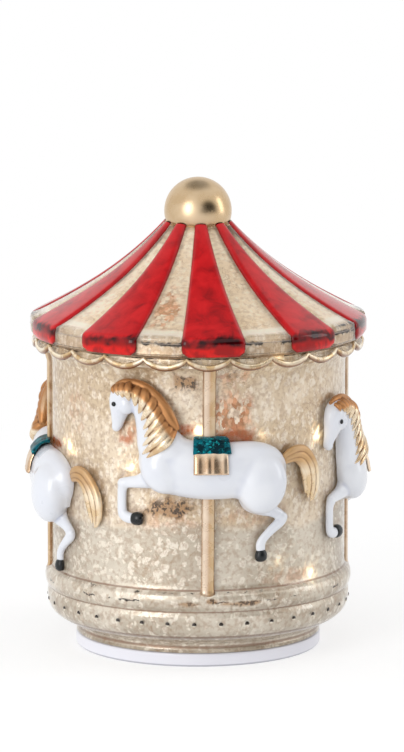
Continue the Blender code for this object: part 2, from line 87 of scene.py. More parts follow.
def newMaterial(name):
    material = bpy.data.materials.new(name)
    material.use_nodes = True
    tree = material.node_tree
    return material, tree, tree.nodes["Principled BSDF"], addNode(tree, "TexCoord")


def laidOver(tree, colour, layers):
    # each layer covers those before it as far as the product of its masks says
    for over, *masks in layers:
        mask = masks[0] if len(masks) == 1 else addNode(tree, "Math", *masks)
        colour = addNode(tree, "Mix", mask, colour, over)
    return colour


def spots(size):
    # the scale of a noise whose spots are about size mm across
    return 560 / size


def addPiece(name, mesh, materials, stands, slot, sharp=None):
    for material in materials:
        mesh.materials.append(material)
    mesh.shade_smooth()
    if sharp:
        mesh.set_sharp_from_angle(angle=math.radians(sharp))
    piece = bpy.data.objects.new(name, mesh)
    scene.collection.objects.link(piece)
    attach(piece, "root")
    if stands:
        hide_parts(*stands)
    return piece


def asMesh(work, name):
    mesh = bpy.data.meshes.new(name)
    work.to_mesh(mesh)
    work.free()
    return mesh


def finished(data, modifiers=()):
    # the mesh that an object of this mesh or curve shows once its modifiers have run
    holder = bpy.data.objects.new("holder", data)
    scene.collection.objects.link(holder)
    for kind, settings in modifiers:
        modifier = holder.modifiers.new(kind, kind)
        for name, value in settings.items():
            setattr(modifier, name, value)
    bpy.context.view_layer.update()
    result = bpy.data.meshes.new_from_object(holder.evaluated_get(bpy.context.evaluated_depsgraph_get()))
    bpy.data.objects.remove(holder)
    return result


def paint(mesh, name, rule, chosen=None):
    # one number at each vertex, for the material to read
    values = mesh.attributes.new(name, "FLOAT", "POINT").data
    for index in chosen or range(len(mesh.vertices)):
        values[index].value = rule(mesh.vertices[index].co / mm)


def smoothLine(points, perSpan):
    # a rounded line through rows of numbers
    rows = [points[0]] + list(points) + [points[-1]]
    line = []
    for a, b, c, d in zip(rows, rows[1:], rows[2:], rows[3:]):
        for step in range(perSpan):
            t = step / perSpan
            line.append([0.5 * (2 * q + (r - p) * t + (2 * p - 5 * q + 4 * r - s) * t * t
                                + (3 * q - p - 3 * r + s) * t ** 3) for p, q, r, s in zip(a, b, c, d)])
    line.append(list(points[-1]))
    return line


def evenLine(points, step):
    # the same outline with a point at least every step mm
    line = []
    for first, second in zip(points, points[1:]):
        count = max(1, math.ceil(math.dist(first, second) / step))
        for part in range(count):
            line.append([a + (b - a) * part / count for a, b in zip(first, second)])
    line.append(list(points[-1]))
    return line


def offsetLine(line, distance):
    # moves an outline of (radius, height) points to its left
    moved = []
    for i, (r, z) in enumerate(line):
        before, after = line[max(i - 1, 0)], line[min(i + 1, len(line) - 1)]
        length = math.dist(before, after)
        moved.append((r - (after[1] - before[1]) / length * distance,
                      z + (after[0] - before[0]) / length * distance))
    return moved


def spun(outline, steps, closed=True):
    # an outline of (radius, height) points turned about the axis
    work = bmesh.new()
    chain = [work.verts.new((0, -r * mm, z * mm)) for r, z in outline]
    edges = [work.edges.new(pair) for pair in zip(chain, chain[1:])]
    if closed:
        edges.append(work.edges.new((chain[-1], chain[0])))
    bmesh.ops.spin(work, geom=chain + edges, cent=(0, 0, 0), axis=(0, 0, 1), angle=math.tau,
                   steps=steps, use_merge=True, use_duplicate=False)
    bmesh.ops.remove_doubles(work, verts=work.verts, dist=0.0005 * mm)
    bmesh.ops.recalc_face_normals(work, faces=work.faces)
    return work


def angleOf(place):
    # degrees round the axis from the front pole
    return math.degrees(math.atan2(place[0], -place[1]))


def aroundGap(first, second):
    return abs((first - second + 180) % 360 - 180)


# camera, floor and light

studio = {
    "lens": 239.0, "distance": 2.0, "azimuth": -3.65, "elevation": 9.5, "aim": (0.0016, 0.1082),
    # a dark ceiling, and a dark doorway to the right of the camera: direction, the cosines of the angle to it
    # where the room starts to darken and where it is darkest, and how bright it still is there
    "darkPlaces": [((0.0, 0.31, 0.95), 0.84, 0.96, 0.32), ((0.55, -0.82, 0.14), 0.81, 0.94, 0.0)],
    # name, place, size, power
    "softboxes": [("keySoftbox", (-0.80, -1.02, 0.46), (0.5, 0.8), 5.4),
                  ("fillSoftbox", (1.15, -0.1, 0.45), (0.3, 0.8), 1.8)],
    "softboxAim": (0, 0, 0.1), "floorGlow": 0.63, "floorTone": 0.42, "floorFade": (0.3, 0.5),
}


def buildCamera():
    look = studio
    turn, lift = math.radians(look["azimuth"]), math.radians(look["elevation"])
    away = Vector((math.sin(turn) * math.cos(lift), -math.cos(turn) * math.cos(lift), math.sin(lift)))
    right, height = look["aim"]
    camera = bpy.data.objects.new("camera", bpy.data.cameras.new("camera"))
    camera.data.lens = look["lens"]
    camera.data.clip_start = 0.1
    middle = Vector((math.cos(turn) * right, math.sin(turn) * right, height))
    camera.location = middle + away * look["distance"]
    camera.rotation_euler = away.to_track_quat("Z", "Y").to_euler()
    scene.collection.objects.link(camera)
    scene.camera = camera


def buildLight():
    look = studio
    for name, place, (wide, tall), power in look["softboxes"]:
        light = bpy.data.lights.new(name, "AREA")
        light.shape = "RECTANGLE"
        light.size, light.size_y, light.energy = wide, tall, power
        lamp = bpy.data.objects.new(name, light)
        lamp.location = place
        lamp.rotation_euler = (Vector(place) - Vector(look["softboxAim"])).to_track_quat("Z", "Y").to_euler()
        scene.collection.objects.link(lamp)
    # a white room, whose dark places only its light and reflections show
    world = bpy.data.worlds.new("whiteRoom")
    world.use_nodes = True
    scene.world = world
    tree = world.node_tree
    ray = addNode(tree, "TexCoord", output="Generated")
    walls = []
    for direction, start, darkest, share in look["darkPlaces"]:
        towards = addNode(tree, "VectorMath", ray, direction, operation="DOT_PRODUCT")
        walls.append(addNode(tree, "MapRange", towards, start, darkest, 1.0, share))
    seen = addNode(tree, "LightPath", output="Is Camera Ray")
    strength = addNode(tree, "Math", addNode(tree, "Math", *walls), seen, operation="MAXIMUM")
    setInputs(tree, tree.nodes["Background"], {"Color": (1, 1, 1, 1), "Strength": strength})
    scene.view_settings.view_transform = "Standard"


def buildFloor():
    look = studio
    work = bmesh.new()
    bmesh.ops.create_grid(work, x_segments=1, y_segments=1, size=4.0)
    mesh = asMesh(work, "floor")
    # white paper that fades into the white room
    material, tree, shader, coords = newMaterial("whitePaper")
    away = addNode(tree, "VectorMath", coords, operation="LENGTH")
    lit = addNode(tree, "MapRange", away, *look["floorFade"], look["floorGlow"], 1.0)
    grey = addNode(tree, "MapRange", away, *look["floorFade"], look["floorTone"], 0.0)
    setInputs(tree, shader, {
        "Base Color": addNode(tree, "CombineColor", grey, grey, grey), "Roughness": 0.9,
        "Specular IOR Level": 0.0, "Emission Color": (1, 1, 1, 1), "Emission Strength": lit})
    mesh.materials.append(material)
    floor = bpy.data.objects.new("floor", mesh)
    scene.collection.objects.link(floor)


# the silvered glass

silver = {
    "champagne": "#D8C7AF", "cream": "#FCF5EC", "pearl": "#C5BDB1", "pearlFleck": "#F4F0E9",
    "roofFilm": "#EDDCC6", "roofLeaf": "#FFF9EE",
    "rust": [(0.1, "#C4845A"), (0.35, "#E0A47C"), (0.55, "#F0CAAC"), (0.8, "#FCF0E2")],
    "net": "#96704A", "tarnishAndShade": "#A67C4C", "bare": "#2A1D14", "line": "#7A5032", "amber": "#B4560C",
    "foldShine": "#FFFBF2", "edgeReflection": "#F0EAEA", "glow": "#FFF4D0", "clear": "#FFFBF4",
    # size in mm and raggedness of the flakes, how much their tint counts, and where they end and are whole
    "leafFlake": (2.3, 5.0, 0.42, 0.78, 0.42), "pearlSpot": (3.4, 7.0, 0.45, 0.66, 0.5),
    "rustFlake": (2.0, 3.0), "netSize": 3.6, "cloud": 14.0,
    # the coat turns to pearl grey between two heights, which waver, and to the tent's warmer leaf above
    "pearlFrom": 59.1, "pearlTo": 55.5, "pearlWaver": 12.0, "roofFrom": 131.0, "roofTo": 136.0,
    # height, half width and strength of each brown line of painted shade, of the fascia's painted shade and
    # of the fold's painted highlight
    "grooveShadeLines": [(32.4, 0.7, 0.7), (24.2, 0.7, 0.7), (14.0, 0.7, 0.7), (7.6, 1.0, 0.7), (126.4, 0.7, 0.7)],
    "fasciaShade": (128.6, 3.6, 0.3), "foldLight": (133.6, 1.5, 0.85),
    # height and half width of the broken dark dashes, and the noise they start at; those on the fold and
    # under the fascia are painted shade
    "dashes": [(28.2, 0.4, 0.56), (31.4, 0.25, 0.58), (131.2, 1.0, 0.47), (125.4, 0.7, 0.5),
               (10.2, 0.3, 0.52)], "dashWaver": 2.4,
    # angle, height and the two half sizes, then the strength
    "copperPatches": [
        (9.5, 101.0, 9.5, 10.5, 1.25), (19.0, 62.0, 12.0, 4.0, 0.4), (-31.5, 95.6, 4.0, 4.5, 1.0),
        (-18.0, 60.5, 13.0, 4.0, 0.45), (8.6, 117.5, 8.0, 3.4, 0.8), (-18.5, 141.0, 5.0, 6.0, 1.0),
        (-58.0, 100.0, 6.0, 9.0, 0.35), (36.0, 36.0, 12.0, 3.0, 0.5), (164.0, 92.0, 10.0, 11.0, 0.9),
        (-140.0, 60.0, 14.0, 7.0, 0.7), (118.0, 110.0, 7.0, 6.0, 0.8), (200.0, 142.0, 7.0, 6.0, 0.9)],
    "barePatches": [
        (-8.7, 115.2, 5.2, 3.9, 1.0), (-15.0, 65.4, 9.8, 4.0, 1.0), (10.1, 118.0, 2.6, 1.6, 0.8),
        (13.6, 27.6, 9.5, 0.8, 0.9), (-7.9, 27.6, 5.0, 0.7, 0.8), (1.6, 28.4, 2.4, 1.3, 1.0),
        (130.0, 84.0, 6.0, 3.0, 1.0), (-132.0, 112.0, 5.0, 2.5, 1.0), (188.0, 58.0, 8.0, 2.6, 0.8)],
    # amber patches over the horses' backs, behind the mane and behind the saddle
    "amberPatches": [
        (10.9, 93.4, 8.0, 2.6, 1.3), (-7.9, 96.4, 4.5, 1.8, 1.1), (-32.5, 91.5, 2.6, 1.6, 0.8),
        (100.9, 82.2, 8.0, 2.6, 1.3), (-79.1, 83.5, 8.0, 2.6, 1.3), (190.9, 93.4, 8.0, 2.6, 1.3),
        (172.1, 96.4, 4.5, 1.8, 1.1)],
    # angle, height and strength of the painted glow where the lamps shine through the coat
    "glints": [
        (-63.7, 84.6, 1.0), (-30.5, 80.2, 0.8), (-3.2, 96.2, 1.0), (49.7, 90.4, 1.0), (46.2, 35.6, 1.0),
        (28.9, 42.3, 0.35), (21.9, 93.0, 0.45), (25.5, 124.6, 0.5), (96.0, 52.0, 0.7), (118.0, 96.0, 1.0),
        (152.0, 48.0, 0.8), (176.0, 104.0, 0.8), (-160.0, 66.0, 1.0), (-128.0, 100.0, 0.8),
        (-106.0, 44.0, 0.9)],
    "glintCore": 1.9, "glintHalo": 4.6, "haloShare": 0.13,
    # the coat is also painted to glow under the eave
    "coveGlow": (120.5, 4.0, 0.04),     # height, half width and strength of the light under the eave
}


def patchRule(patches):
    # how strongly a spot of the coat lies inside any of the patches
    def rule(place):
        angle, radius = angleOf(place), math.hypot(place.x, place.y)
        ragged = 1.0 + 0.5 * noise.noise(place * 0.28)
        most = 0.0
        for middle, height, wide, tall, strength in patches:
            along = math.radians(aroundGap(angle, middle)) * radius
            away = math.hypot(along / wide, (place.z - height) / tall)
            most = max(most, strength * min(1.0, max(0.0, (ragged * 1.15 - away) * 2.2)))
        return most
    return rule


def glowRule(place):
    # how brightly the coat is painted to glow at a spot, where the lamps shine through
    look = silver
    angle, radius = angleOf(place), math.hypot(place.x, place.y)
    total = 0.0
    for middle, height, strength in look["glints"]:
        gap = math.radians(aroundGap(angle, middle)) * radius
        if gap < 15:
            away = math.hypot(gap, place.z - height) * (1.0 + 0.9 * noise.noise(place * 0.55))
            total += strength * (math.exp(-(away / look["glintCore"]) ** 2)
                                 + look["haloShare"] * math.exp(-(away / look["glintHalo"]) ** 2))
    height, wide, strength = look["coveGlow"]
    return total + strength * math.exp(-((place.z - height) / wide) ** 2)


def nearHorseRule(tree):
    # painted shade: a brown fringe of the coat along the horses' outlines, strongest along their backs
    def rule(place):
        nearest, index, away = tree.find(place)
        above = max(0.0, (place.z - nearest.z) / max(away, 0.01))
        outlineShade = math.exp(-(max(0.0, away - 1.6) / 1.4) ** 2)
        return outlineShade * (0.2 + 0.8 * above) * (0.85 + 0.7 * noise.noise(place * 0.25))
    return rule


def nearPanelRule(place):
    # painted shadow: a brown fringe of the coat along the red panels
    if place.z < tent["fasciaFoot"]:
        return 0.0
    across = math.radians(pastPanel(angleOf(place))) * math.hypot(place.x, place.y)
    return math.exp(-(max(0.0, across) / 0.8) ** 2) * (0.7 + 0.6 * noise.noise(place * 0.3))


def band(tree, height, middle, width):
    # 1 along a level line, 0 beyond its half width
    gap = addNode(tree, "Math", height, middle * mm, operation="SUBTRACT")
    gap = addNode(tree, "Math", gap, operation="ABSOLUTE")
    return addNode(tree, "MapRange", gap, width * mm, width * 0.3 * mm)


def leafFlakes(tree, coords, size, ragged):
    # ragged flakes about size mm across: how far a spot is from its flake's middle, and the flake's own tint
    push = addNode(tree, "TexNoise", coords, Scale=900 / size, Detail=3.0, Roughness=0.5, output="Color")
    push = addNode(tree, "VectorMath", push, (0.5, 0.5, 0.5), operation="SUBTRACT")
    moved = addNode(tree, "VectorMath", push, (ragged * mm,) * 3, coords, operation="MULTIPLY_ADD")
    away = addNode(tree, "TexVoronoi", moved, Scale=1000 / size)
    return away, addNode(tree, "SeparateColor", away.node.outputs["Color"])


def silverCoat():
    # silver and gold leaf flaked over the inside of blown glass, aged to copper in places
    look = silver
    material, tree, shader, coords = newMaterial("flakedSilverCoat")
    copper, amber, bare, outlineShade, glow = [addNode(tree, "Attribute", attribute_name=name)
                                         for name in ("copper", "amber", "bare", "outlineShade", "glow")]
    height = addNode(tree, "SeparateXYZ", coords)
    cloud = addNode(tree, "TexNoise", coords, Scale=spots(look["cloud"]))
    waver = look["pearlWaver"]
    ragged = addNode(tree, "Math", cloud, waver * mm, height, operation="MULTIPLY_ADD")
    start, end = [(look[name] + waver / 2) * mm for name in ("pearlFrom", "pearlTo")]
    low = addNode(tree, "MapRange", ragged, start, end)
    roof = addNode(tree, "MapRange", height, look["roofFrom"] * mm, look["roofTo"] * mm)
    film = laidOver(tree, look["champagne"], [(look["pearl"], low), (look["roofFilm"], roof)])
    leaf = laidOver(tree, look["cream"], [(look["pearlFleck"], low), (look["roofLeaf"], roof)])
    drift = addNode(tree, "MapRange", cloud, 0.42, 0.7, 0.0, 0.5)
    # small upright flakes of leaf above, rounder pearly spots below, both calmer on the roof
    upright = addNode(tree, "Mapping", coords, Scale=(1, 1, 0.7))
    flakes = []
    for place, kind in ((upright, "leafFlake"), (coords, "pearlSpot")):
        size, raggedness, share, end, whole = look[kind]
        away, tint = leafFlakes(tree, place, size, raggedness)
        reach = addNode(tree, "Math", tint, share, away, operation="MULTIPLY_ADD")
        flakes.append(addNode(tree, "MapRange", reach, end, whole, 0.0, 0.85))
    calm = addNode(tree, "MapRange", roof, 0.0, 1.0, 1.0, 0.6)
    flakes = addNode(tree, "Math", addNode(tree, "Mix", low, *flakes), calm)
    # copper and pink flakes where the coat has aged
    away, tint = leafFlakes(tree, upright, *look["rustFlake"])
    rust = addNode(tree, "ValToRGB", tint, stops=look["rust"])
    rust = addNode(tree, "Mix", addNode(tree, "MapRange", away, 0.45, 0.7, 0.0, 0.4), rust, look["net"])
    amberFlakeMask = addNode(tree, "MapRange", away, 0.75, 0.35, 0.6, 1.0)
    # a fine grain, and a thin brown net in places
    grain = addNode(tree, "TexNoise", coords, Scale=spots(1.0), Detail=3.0)
    worn = addNode(tree, "MapRange", grain, 0.44, 0.66, 0.0, 0.4)
    wornHere = addNode(tree, "MapRange", roof, 0.0, 1.0, 1.0, 0.65)
    net = addNode(tree, "TexNoise", upright, Scale=spots(look["netSize"]), Detail=4.0, Distortion=1.6)
    net = addNode(tree, "Math", net, 0.49, 0.012, operation="COMPARE")
    netHere = addNode(tree, "MapRange", cloud, 0.42, 0.56, 0.4, 0.0)
    layers = [(leaf, drift), (leaf, flakes), (rust, copper, 0.8), (look["amber"], amber, amberFlakeMask),
              (look["net"], worn, wornHere), (look["net"], net, netHere)]
    # brown lines of painted shade in the grooves and joints of the glass
    for middle, width, strength in look["grooveShadeLines"]:
        layers.append((look["line"], band(tree, height, middle, width), strength))
    # painted shade along the outlines of the horses and the red panels
    layers.append((look["line"], outlineShade, 0.85))
    # painted shade on the fascia, and a painted highlight where the tent folds, above a broken dark line
    for name, over in (("fasciaShade", "tarnishAndShade"), ("foldLight", "foldShine")):
        middle, width, strength = look[name]
        layers.append((look[over], band(tree, height, middle, width), strength))
    broken = addNode(tree, "TexNoise", coords, Scale=spots(5.5), Detail=5.0, Distortion=1.0)
    waver = look["dashWaver"]
    uneven = addNode(tree, "Math", grain, waver * mm, height, operation="MULTIPLY_ADD")
    for middle, width, start in look["dashes"]:
        dashed = addNode(tree, "MapRange", broken, start, start + 0.05)
        layers.append((look["bare"], band(tree, uneven, middle + waver / 2, width), dashed))
    # tarnished spots, brown with fine black marks in them
    marks = addNode(tree, "TexNoise", coords, Scale=spots(1.0), Detail=5.0, Distortion=0.4)
    marks = addNode(tree, "MapRange", marks, 0.49, 0.56, 0.0, 0.9)
    # painted reflection: the coat turns white where the thick glass turns away
    edgeReflectionMask = addNode(tree, "MapRange", addNode(tree, "LayerWeight", 0.5), 0.5, 0.9, 0.0, 0.55)
    layers += [(look["tarnishAndShade"], bare, 0.85), (look["bare"], bare, marks), (look["edgeReflection"], edgeReflectionMask)]
    colour = laidOver(tree, film, layers)
    # painted glow: the coat shines with the warm lamps behind it, and a little painted light over the tent
    warm = addNode(tree, "Mix", 1.0, look["glow"], colour, blend_type="MULTIPLY")
    warm = addNode(tree, "Mix", addNode(tree, "MapRange", glow, 0.2, 0.9), warm, look["glow"])
    ambient = addNode(tree, "MapRange", roof, 0.0, 1.0, 0.04, 0.16)
    setInputs(tree, shader, {
        "Base Color": colour, "Metallic": 0.35,
        "Roughness": addNode(tree, "MapRange", flakes, 0.0, 1.0, 0.3, 0.5),
        "Normal": addNode(tree, "Bump", Height=flakes, Distance=0.06 * mm), "Emission Color": warm,
        "Emission Strength": addNode(tree, "Math", glow, 1.8, ambient, operation="MULTIPLY_ADD")})
    return material


def clearGlass():
    # blown glass, clear, slightly wavy from the mould; it casts no shadow of its own
    material, tree, shader, coords = newMaterial("wavyClearGlass")
    stretched = addNode(tree, "Mapping", coords, Scale=(1, 1, 0.3))
    waves = addNode(tree, "TexNoise", stretched, Scale=spots(6.0))
    setInputs(tree, shader, {
        "Base Color": silver["clear"], "Roughness": 0.03, "IOR": 1.48, "Transmission Weight": 1.0,
        "Normal": addNode(tree, "Bump", Height=waves, Distance=0.1 * mm)})
    shadow = addNode(tree, "LightPath", output="Is Shadow Ray")
    unshaded = addNode(tree, "BsdfTransparent", silver["clear"])
    both = addNode(tree, "MixShader", shadow, shader.outputs[0], unshaded)
    setInputs(tree, tree.nodes["Material Output"], {"Surface": both})
    return material


drum = {
    "radius": 59.0, "top": 122.6, "wall": 1.4, "steps": 360,
    "insideFoot": 5.6, "footTop": 8.5, "footInside": 48.2,
    # radius and height down the outside, from the cove under the eave to the foot
    "outline": [(63.2, 122.5), (62.5, 122.1), (61.6, 121.4), (60.7, 120.4), (60.0, 119.1), (59.4, 117.6),
                (59.1, 116.0), (59.0, 114.4), (59.0, 34.6), (59.1, 33.6), (59.5, 32.8), (59.9, 32.3),
                (60.6, 31.9), (61.2, 30.8), (61.5, 29.4), (61.55, 28.0), (61.3, 26.6), (60.9, 25.4),
                (60.3, 24.7), (60.0, 24.1), (60.2, 23.5), (60.6, 22.8), (60.7, 21.6), (60.6, 19.6),
                (60.2, 17.6), (59.5, 15.8), (58.6, 14.6), (58.1, 14.2), (57.9, 13.9), (57.4, 13.5),
                (55.8, 12.4), (53.4, 11.2), (50.8, 10.2), (49.4, 9.5), (48.9, 8.7), (48.8, 7.6),
                (49.1, 6.7), (49.1, 5.9), (48.6, 5.5)],
    "studs": 36, "studStart": 5, "studHeight": 19.4, "studRadius": 0.9, "studSeat": 60.5, "studDepth": 0.45,
}


def buildDrum(coat, clear, outlines):
    # one blown shell, clear outside and coated on every face that looks inwards
    look = drum
    outside = evenLine(look["outline"], 1.4)
    inside = offsetLine(outside, -look["wall"])
    inside = [(r, min(z, look["top"])) for r, z in inside if z > look["insideFoot"]]
    work = spun(outside + inside[::-1], look["steps"])
    for face in work.faces:
        middle = face.calc_center_median()
        radius = Vector((middle.x, middle.y, 0))
        inFoot = middle.z < look["footTop"] * mm and radius.length < look["footInside"] * mm
        face.material_index = 1 if inFoot or face.normal.dot(radius.normalized()) < -0.05 else 0
    mesh = asMesh(work, "drumGlass")
    paintCoat(mesh, nearHorseRule(outlines))
    addPiece("drumGlass", mesh, [clear, coat], ["body_glass"], "mercury_glass", sharp=60)
    print("drum glass:", len(mesh.polygons), "faces")


def paintCoat(mesh, outlineShade):
    # the attributes that the silver coat reads, on the coated faces alone
    coated = sorted({index for face in mesh.polygons if face.material_index == 1 for index in face.vertices})
    for name in ("copper", "bare", "amber"):
        paint(mesh, name, patchRule(silver[name + "Patches"]), coated)
    paint(mesh, "glow", glowRule, coated)
    paint(mesh, "outlineShade", outlineShade, coated)


def buildStuds(dark):
    # small dimpled beads round the lower band
    look = drum
    domes = bmesh.new()
    seat = Matrix.Translation((0, -look["studSeat"] * mm, look["studHeight"] * mm))
    flat = Matrix.Diagonal((1, look["studDepth"], 1, 1))
    for index in range(look["studs"]):
        turn = Matrix.Rotation(math.radians(look["studStart"] + index * 360 / look["studs"]), 4, "Z")
        bmesh.ops.create_uvsphere(domes, u_segments=16, v_segments=10, radius=look["studRadius"] * mm,
                                  matrix=turn @ seat @ flat)
    addPiece("bandStuds", asMesh(domes, "bandStuds"), [dark], [], "mercury_glass")
    print("band studs:", look["studs"])


# the tent, its red panels and its scallops

tent = {
    "eave": 66.1, "eaveTop": 132.5, "eaveSlope": 0.513, "top": 170.4, "topRadius": 12.6, "hole": 9.5,
    "wall": 1.7, "fold": 1.6, "fasciaFoot": 126.6, "steps": 360, "panels": 10, "phase": 2.0,
    # the blown panels differ a little in width and in place; the first is the one in front
    "spans": [21.6, 20.2, 20.8, 20.2, 20.6, 20.4, 20.8, 20.2, 20.6, 21.8],
    "shifts": [-0.3, 1.8, 1.6, 0.6, 0.0, -0.4, 0.3, -0.6, -1.5, -1.6],
    "padHeight": 1.05, "padEdge": 2.3, "padCorner": 3.2, "padEdgeDarkening": 0.6, "pillow": 0.95, "roll": 0.7,
    # under the fascia, down behind the scallops
    "cove": [(65.9, 126.2), (65.1, 125.9), (64.7, 125.3), (65.1, 124.7), (65.3, 123.8), (65.0, 122.6),
             (64.5, 121.8), (64.0, 121.5), (63.5, 121.6)],
    "lobes": 24, "cusp": 125.2, "drop": 3.2, "lobeBulge": 0.9, "beadThin": 0.75, "beadThick": 1.45,
}


def slopeLine(count):
    # the hanging slope, from the ball to the fold
    look = tent
    run = look["eave"] - look["topRadius"]
    sag = (look["top"] - look["eaveTop"] - look["eaveSlope"] * run) / run ** 3
    line = []
    for step in range(count + 1):
        inward = run * (1 - step / count)
        line.append((look["eave"] - inward, look["eaveTop"] + look["eaveSlope"] * inward + sag * inward ** 3))
    return line


def tentLine(count):
    # slope, rounded fold and upright fascia
    look = tent
    line = slopeLine(count)
    line = [point for point in line if math.dist(point, line[-1]) > look["fold"]]
    start = math.atan2(1.0, look["eaveSlope"])
    radius = look["fold"]
    middle = (look["eave"] - radius, look["eaveTop"] - radius * 0.62)
    for step in range(7):
        angle = start * (1 - step / 6)
        line.append((middle[0] + radius * math.cos(angle), middle[1] + radius * math.sin(angle)))
    return line + [(look["eave"], look["eaveTop"] - 3.0), (look["eave"], look["fasciaFoot"] + 1.6),
                   (look["eave"], look["fasciaFoot"])]


def edgeRound(distance, width):
    # quarter round from 0 at an edge to 1 where it is width away
    share = min(max(distance / width, 0.0), 1.0)
    return math.sqrt(1 - (1 - share) ** 2)


def lobeEdge(angle):
    look = tent
    share = angle / (360 / look["lobes"])
    return look["cusp"] - look["drop"] * abs(math.cos(math.pi * share)) ** 0.75


def panelMiddle(index):
    return tent["phase"] + index * 360 / tent["panels"] + tent["shifts"][index]


def pastPanel(angle):
    # degrees from the edge of the nearest red panel
    return min(aroundGap(angle, panelMiddle(index)) - span / 2 for index, span in enumerate(tent["spans"]))


def buildTent(coat, clear):
    look = tent
    outside = evenLine(tentLine(40) + look["cove"], 1.5)
    inside = offsetLine(outside, -look["wall"])
    inside = [point for point in inside if point[0] > look["hole"] + 1]
    work = spun([(look["hole"], look["top"] - 1.0)] + outside + inside[::-1]
                + [(look["hole"], look["top"] - look["wall"] - 1.0)], look["steps"])
    outer = set()
    for face in work.faces:
        middle = face.calc_center_median()
        axis = Vector((middle.x, middle.y, 0)).normalized()
        towards = face.normal.dot(axis) if middle.z < 0.125 else face.normal.dot(axis) + face.normal.z
        face.material_index = 1 if towards < -0.05 else 0
        if face.material_index == 0:
            outer.update(face.verts)
    for vertex in outer:
        place = vertex.co / mm
        angle, radius = angleOf(place), math.hypot(place.x, place.y)
        outward = Vector((place.x, place.y, 0)).normalized()
        across = math.radians(pastPanel(angle)) * radius
        if place.z > look["fasciaFoot"]:
            # the bare gores swell up between the red panels, most where they fold
            swell = look["pillow"] * edgeRound(across, 1.6) * min(1.0, (place.z - look["fasciaFoot"]) / 1.2)
            folded = math.exp(-((place.z - look["eaveTop"]) / 1.6) ** 2)
            swell *= 1 + look["roll"] * folded * edgeRound(across, 3.5)
            lift = outward if place.z < look["eaveTop"] - 1 else (outward * 0.59 + Vector((0, 0, 0.81)))
            vertex.co += lift * swell * mm
        else:
            # the scallops bulge, and between them the glass runs back into the cove
            below = lobeEdge(angle) - place.z
            if below > 0:
                vertex.co -= outward * mm * min(2.6, below * 1.1)
            else:
                groove = min(1.0, max(0.0, (look["cusp"] + 0.3 - place.z) / 1.2))
                vertex.co += outward * mm * look["lobeBulge"] * edgeRound(-below, 2.0) * groove
    mesh = asMesh(work, "tentGlass")
    paintCoat(mesh, nearPanelRule)
    addPiece("tentGlass", mesh, [clear, coat], ["roof_glass"], "mercury_glass", sharp=60)
    print("tent glass:", len(mesh.polygons), "faces")


def buildPanels(lacquer):
    # padded panels of red glass, laid on the tent from the ball to the foot of the fascia
    look = tent
    corner, edgeDarkeningMost, crowded = look["padCorner"], look["padEdgeDarkening"], math.pi / 2 * 0.98
    line = evenLine(offsetLine(tentLine(44), 0.3), 1.6)
    facing = [(b[0] - a[0], b[1] - a[1]) for a, b in zip(offsetLine(line, 0), offsetLine(line, 1.0))]
    lengths = [0.0]
    for first, second in zip(line, line[1:]):
        lengths.append(lengths[-1] + math.dist(first, second))
    total = lengths[-1]
    rows, columns = len(line) - 1, 26
    for index in range(look["panels"]):
        middle = panelMiddle(index)
        work = bmesh.new()
        bmesh.ops.create_grid(work, x_segments=columns, y_segments=rows, size=1.0)
        edgeDarkening = {}
        for vertex in work.verts:
            row = round((1 - vertex.co.y) / 2 * rows)
            # columns crowd towards the edges, where the pad is rounded
            across = math.sin(vertex.co.x * crowded) / math.sin(crowded)
            radius, height = line[row]
            left = total - lengths[row]
            half = math.radians(look["spans"][index] / 2) * radius
            if left < corner:
                half -= (corner - math.sqrt(corner ** 2 - (corner - left) ** 2)) * 0.8
            side = half * (1 - abs(across))
            out = look["padHeight"] * edgeRound(side, look["padEdge"]) * edgeRound(left, 1.4)
            turn = math.radians(middle) + half * across / radius
            reach = radius + facing[row][0] * out
            height += facing[row][1] * out
            place = Vector((reach * math.sin(turn), -reach * math.cos(turn), height)) * mm
            vertex.co = place
            # darker towards the panel's side edges
            edgeDarkening[tuple(place)] = edgeDarkeningMost * math.exp(-side / 0.6)
        rim = [edge for edge in work.edges if edge.is_boundary]
        skirt = bmesh.ops.extrude_edge_only(work, edges=rim)["geom"]
        for vertex in [part for part in skirt if isinstance(part, bmesh.types.BMVert)]:
            inward = Vector((vertex.co.x, vertex.co.y, 0)).normalized()
            vertex.co -= (inward * 0.1 + Vector((0, 0, 0.16))) * mm
        bmesh.ops.holes_fill(work, edges=[edge for edge in work.edges if edge.is_boundary], sides=0)
        bmesh.ops.recalc_face_normals(work, faces=work.faces)
        name = f"redPanel{index + 1:02d}"
        mesh = asMesh(work, name)
        values = mesh.attributes.new("edgeDarkening", "FLOAT", "POINT").data
        for vertex, value in zip(mesh.vertices, values):
            value.value = edgeDarkening.get(tuple(vertex.co), edgeDarkeningMost)
        addPiece(name, mesh, [lacquer], [f"red_stripe_{index + 1:02d}"], "red_lacquer", sharp=70)
    print("red panels:", look["panels"])


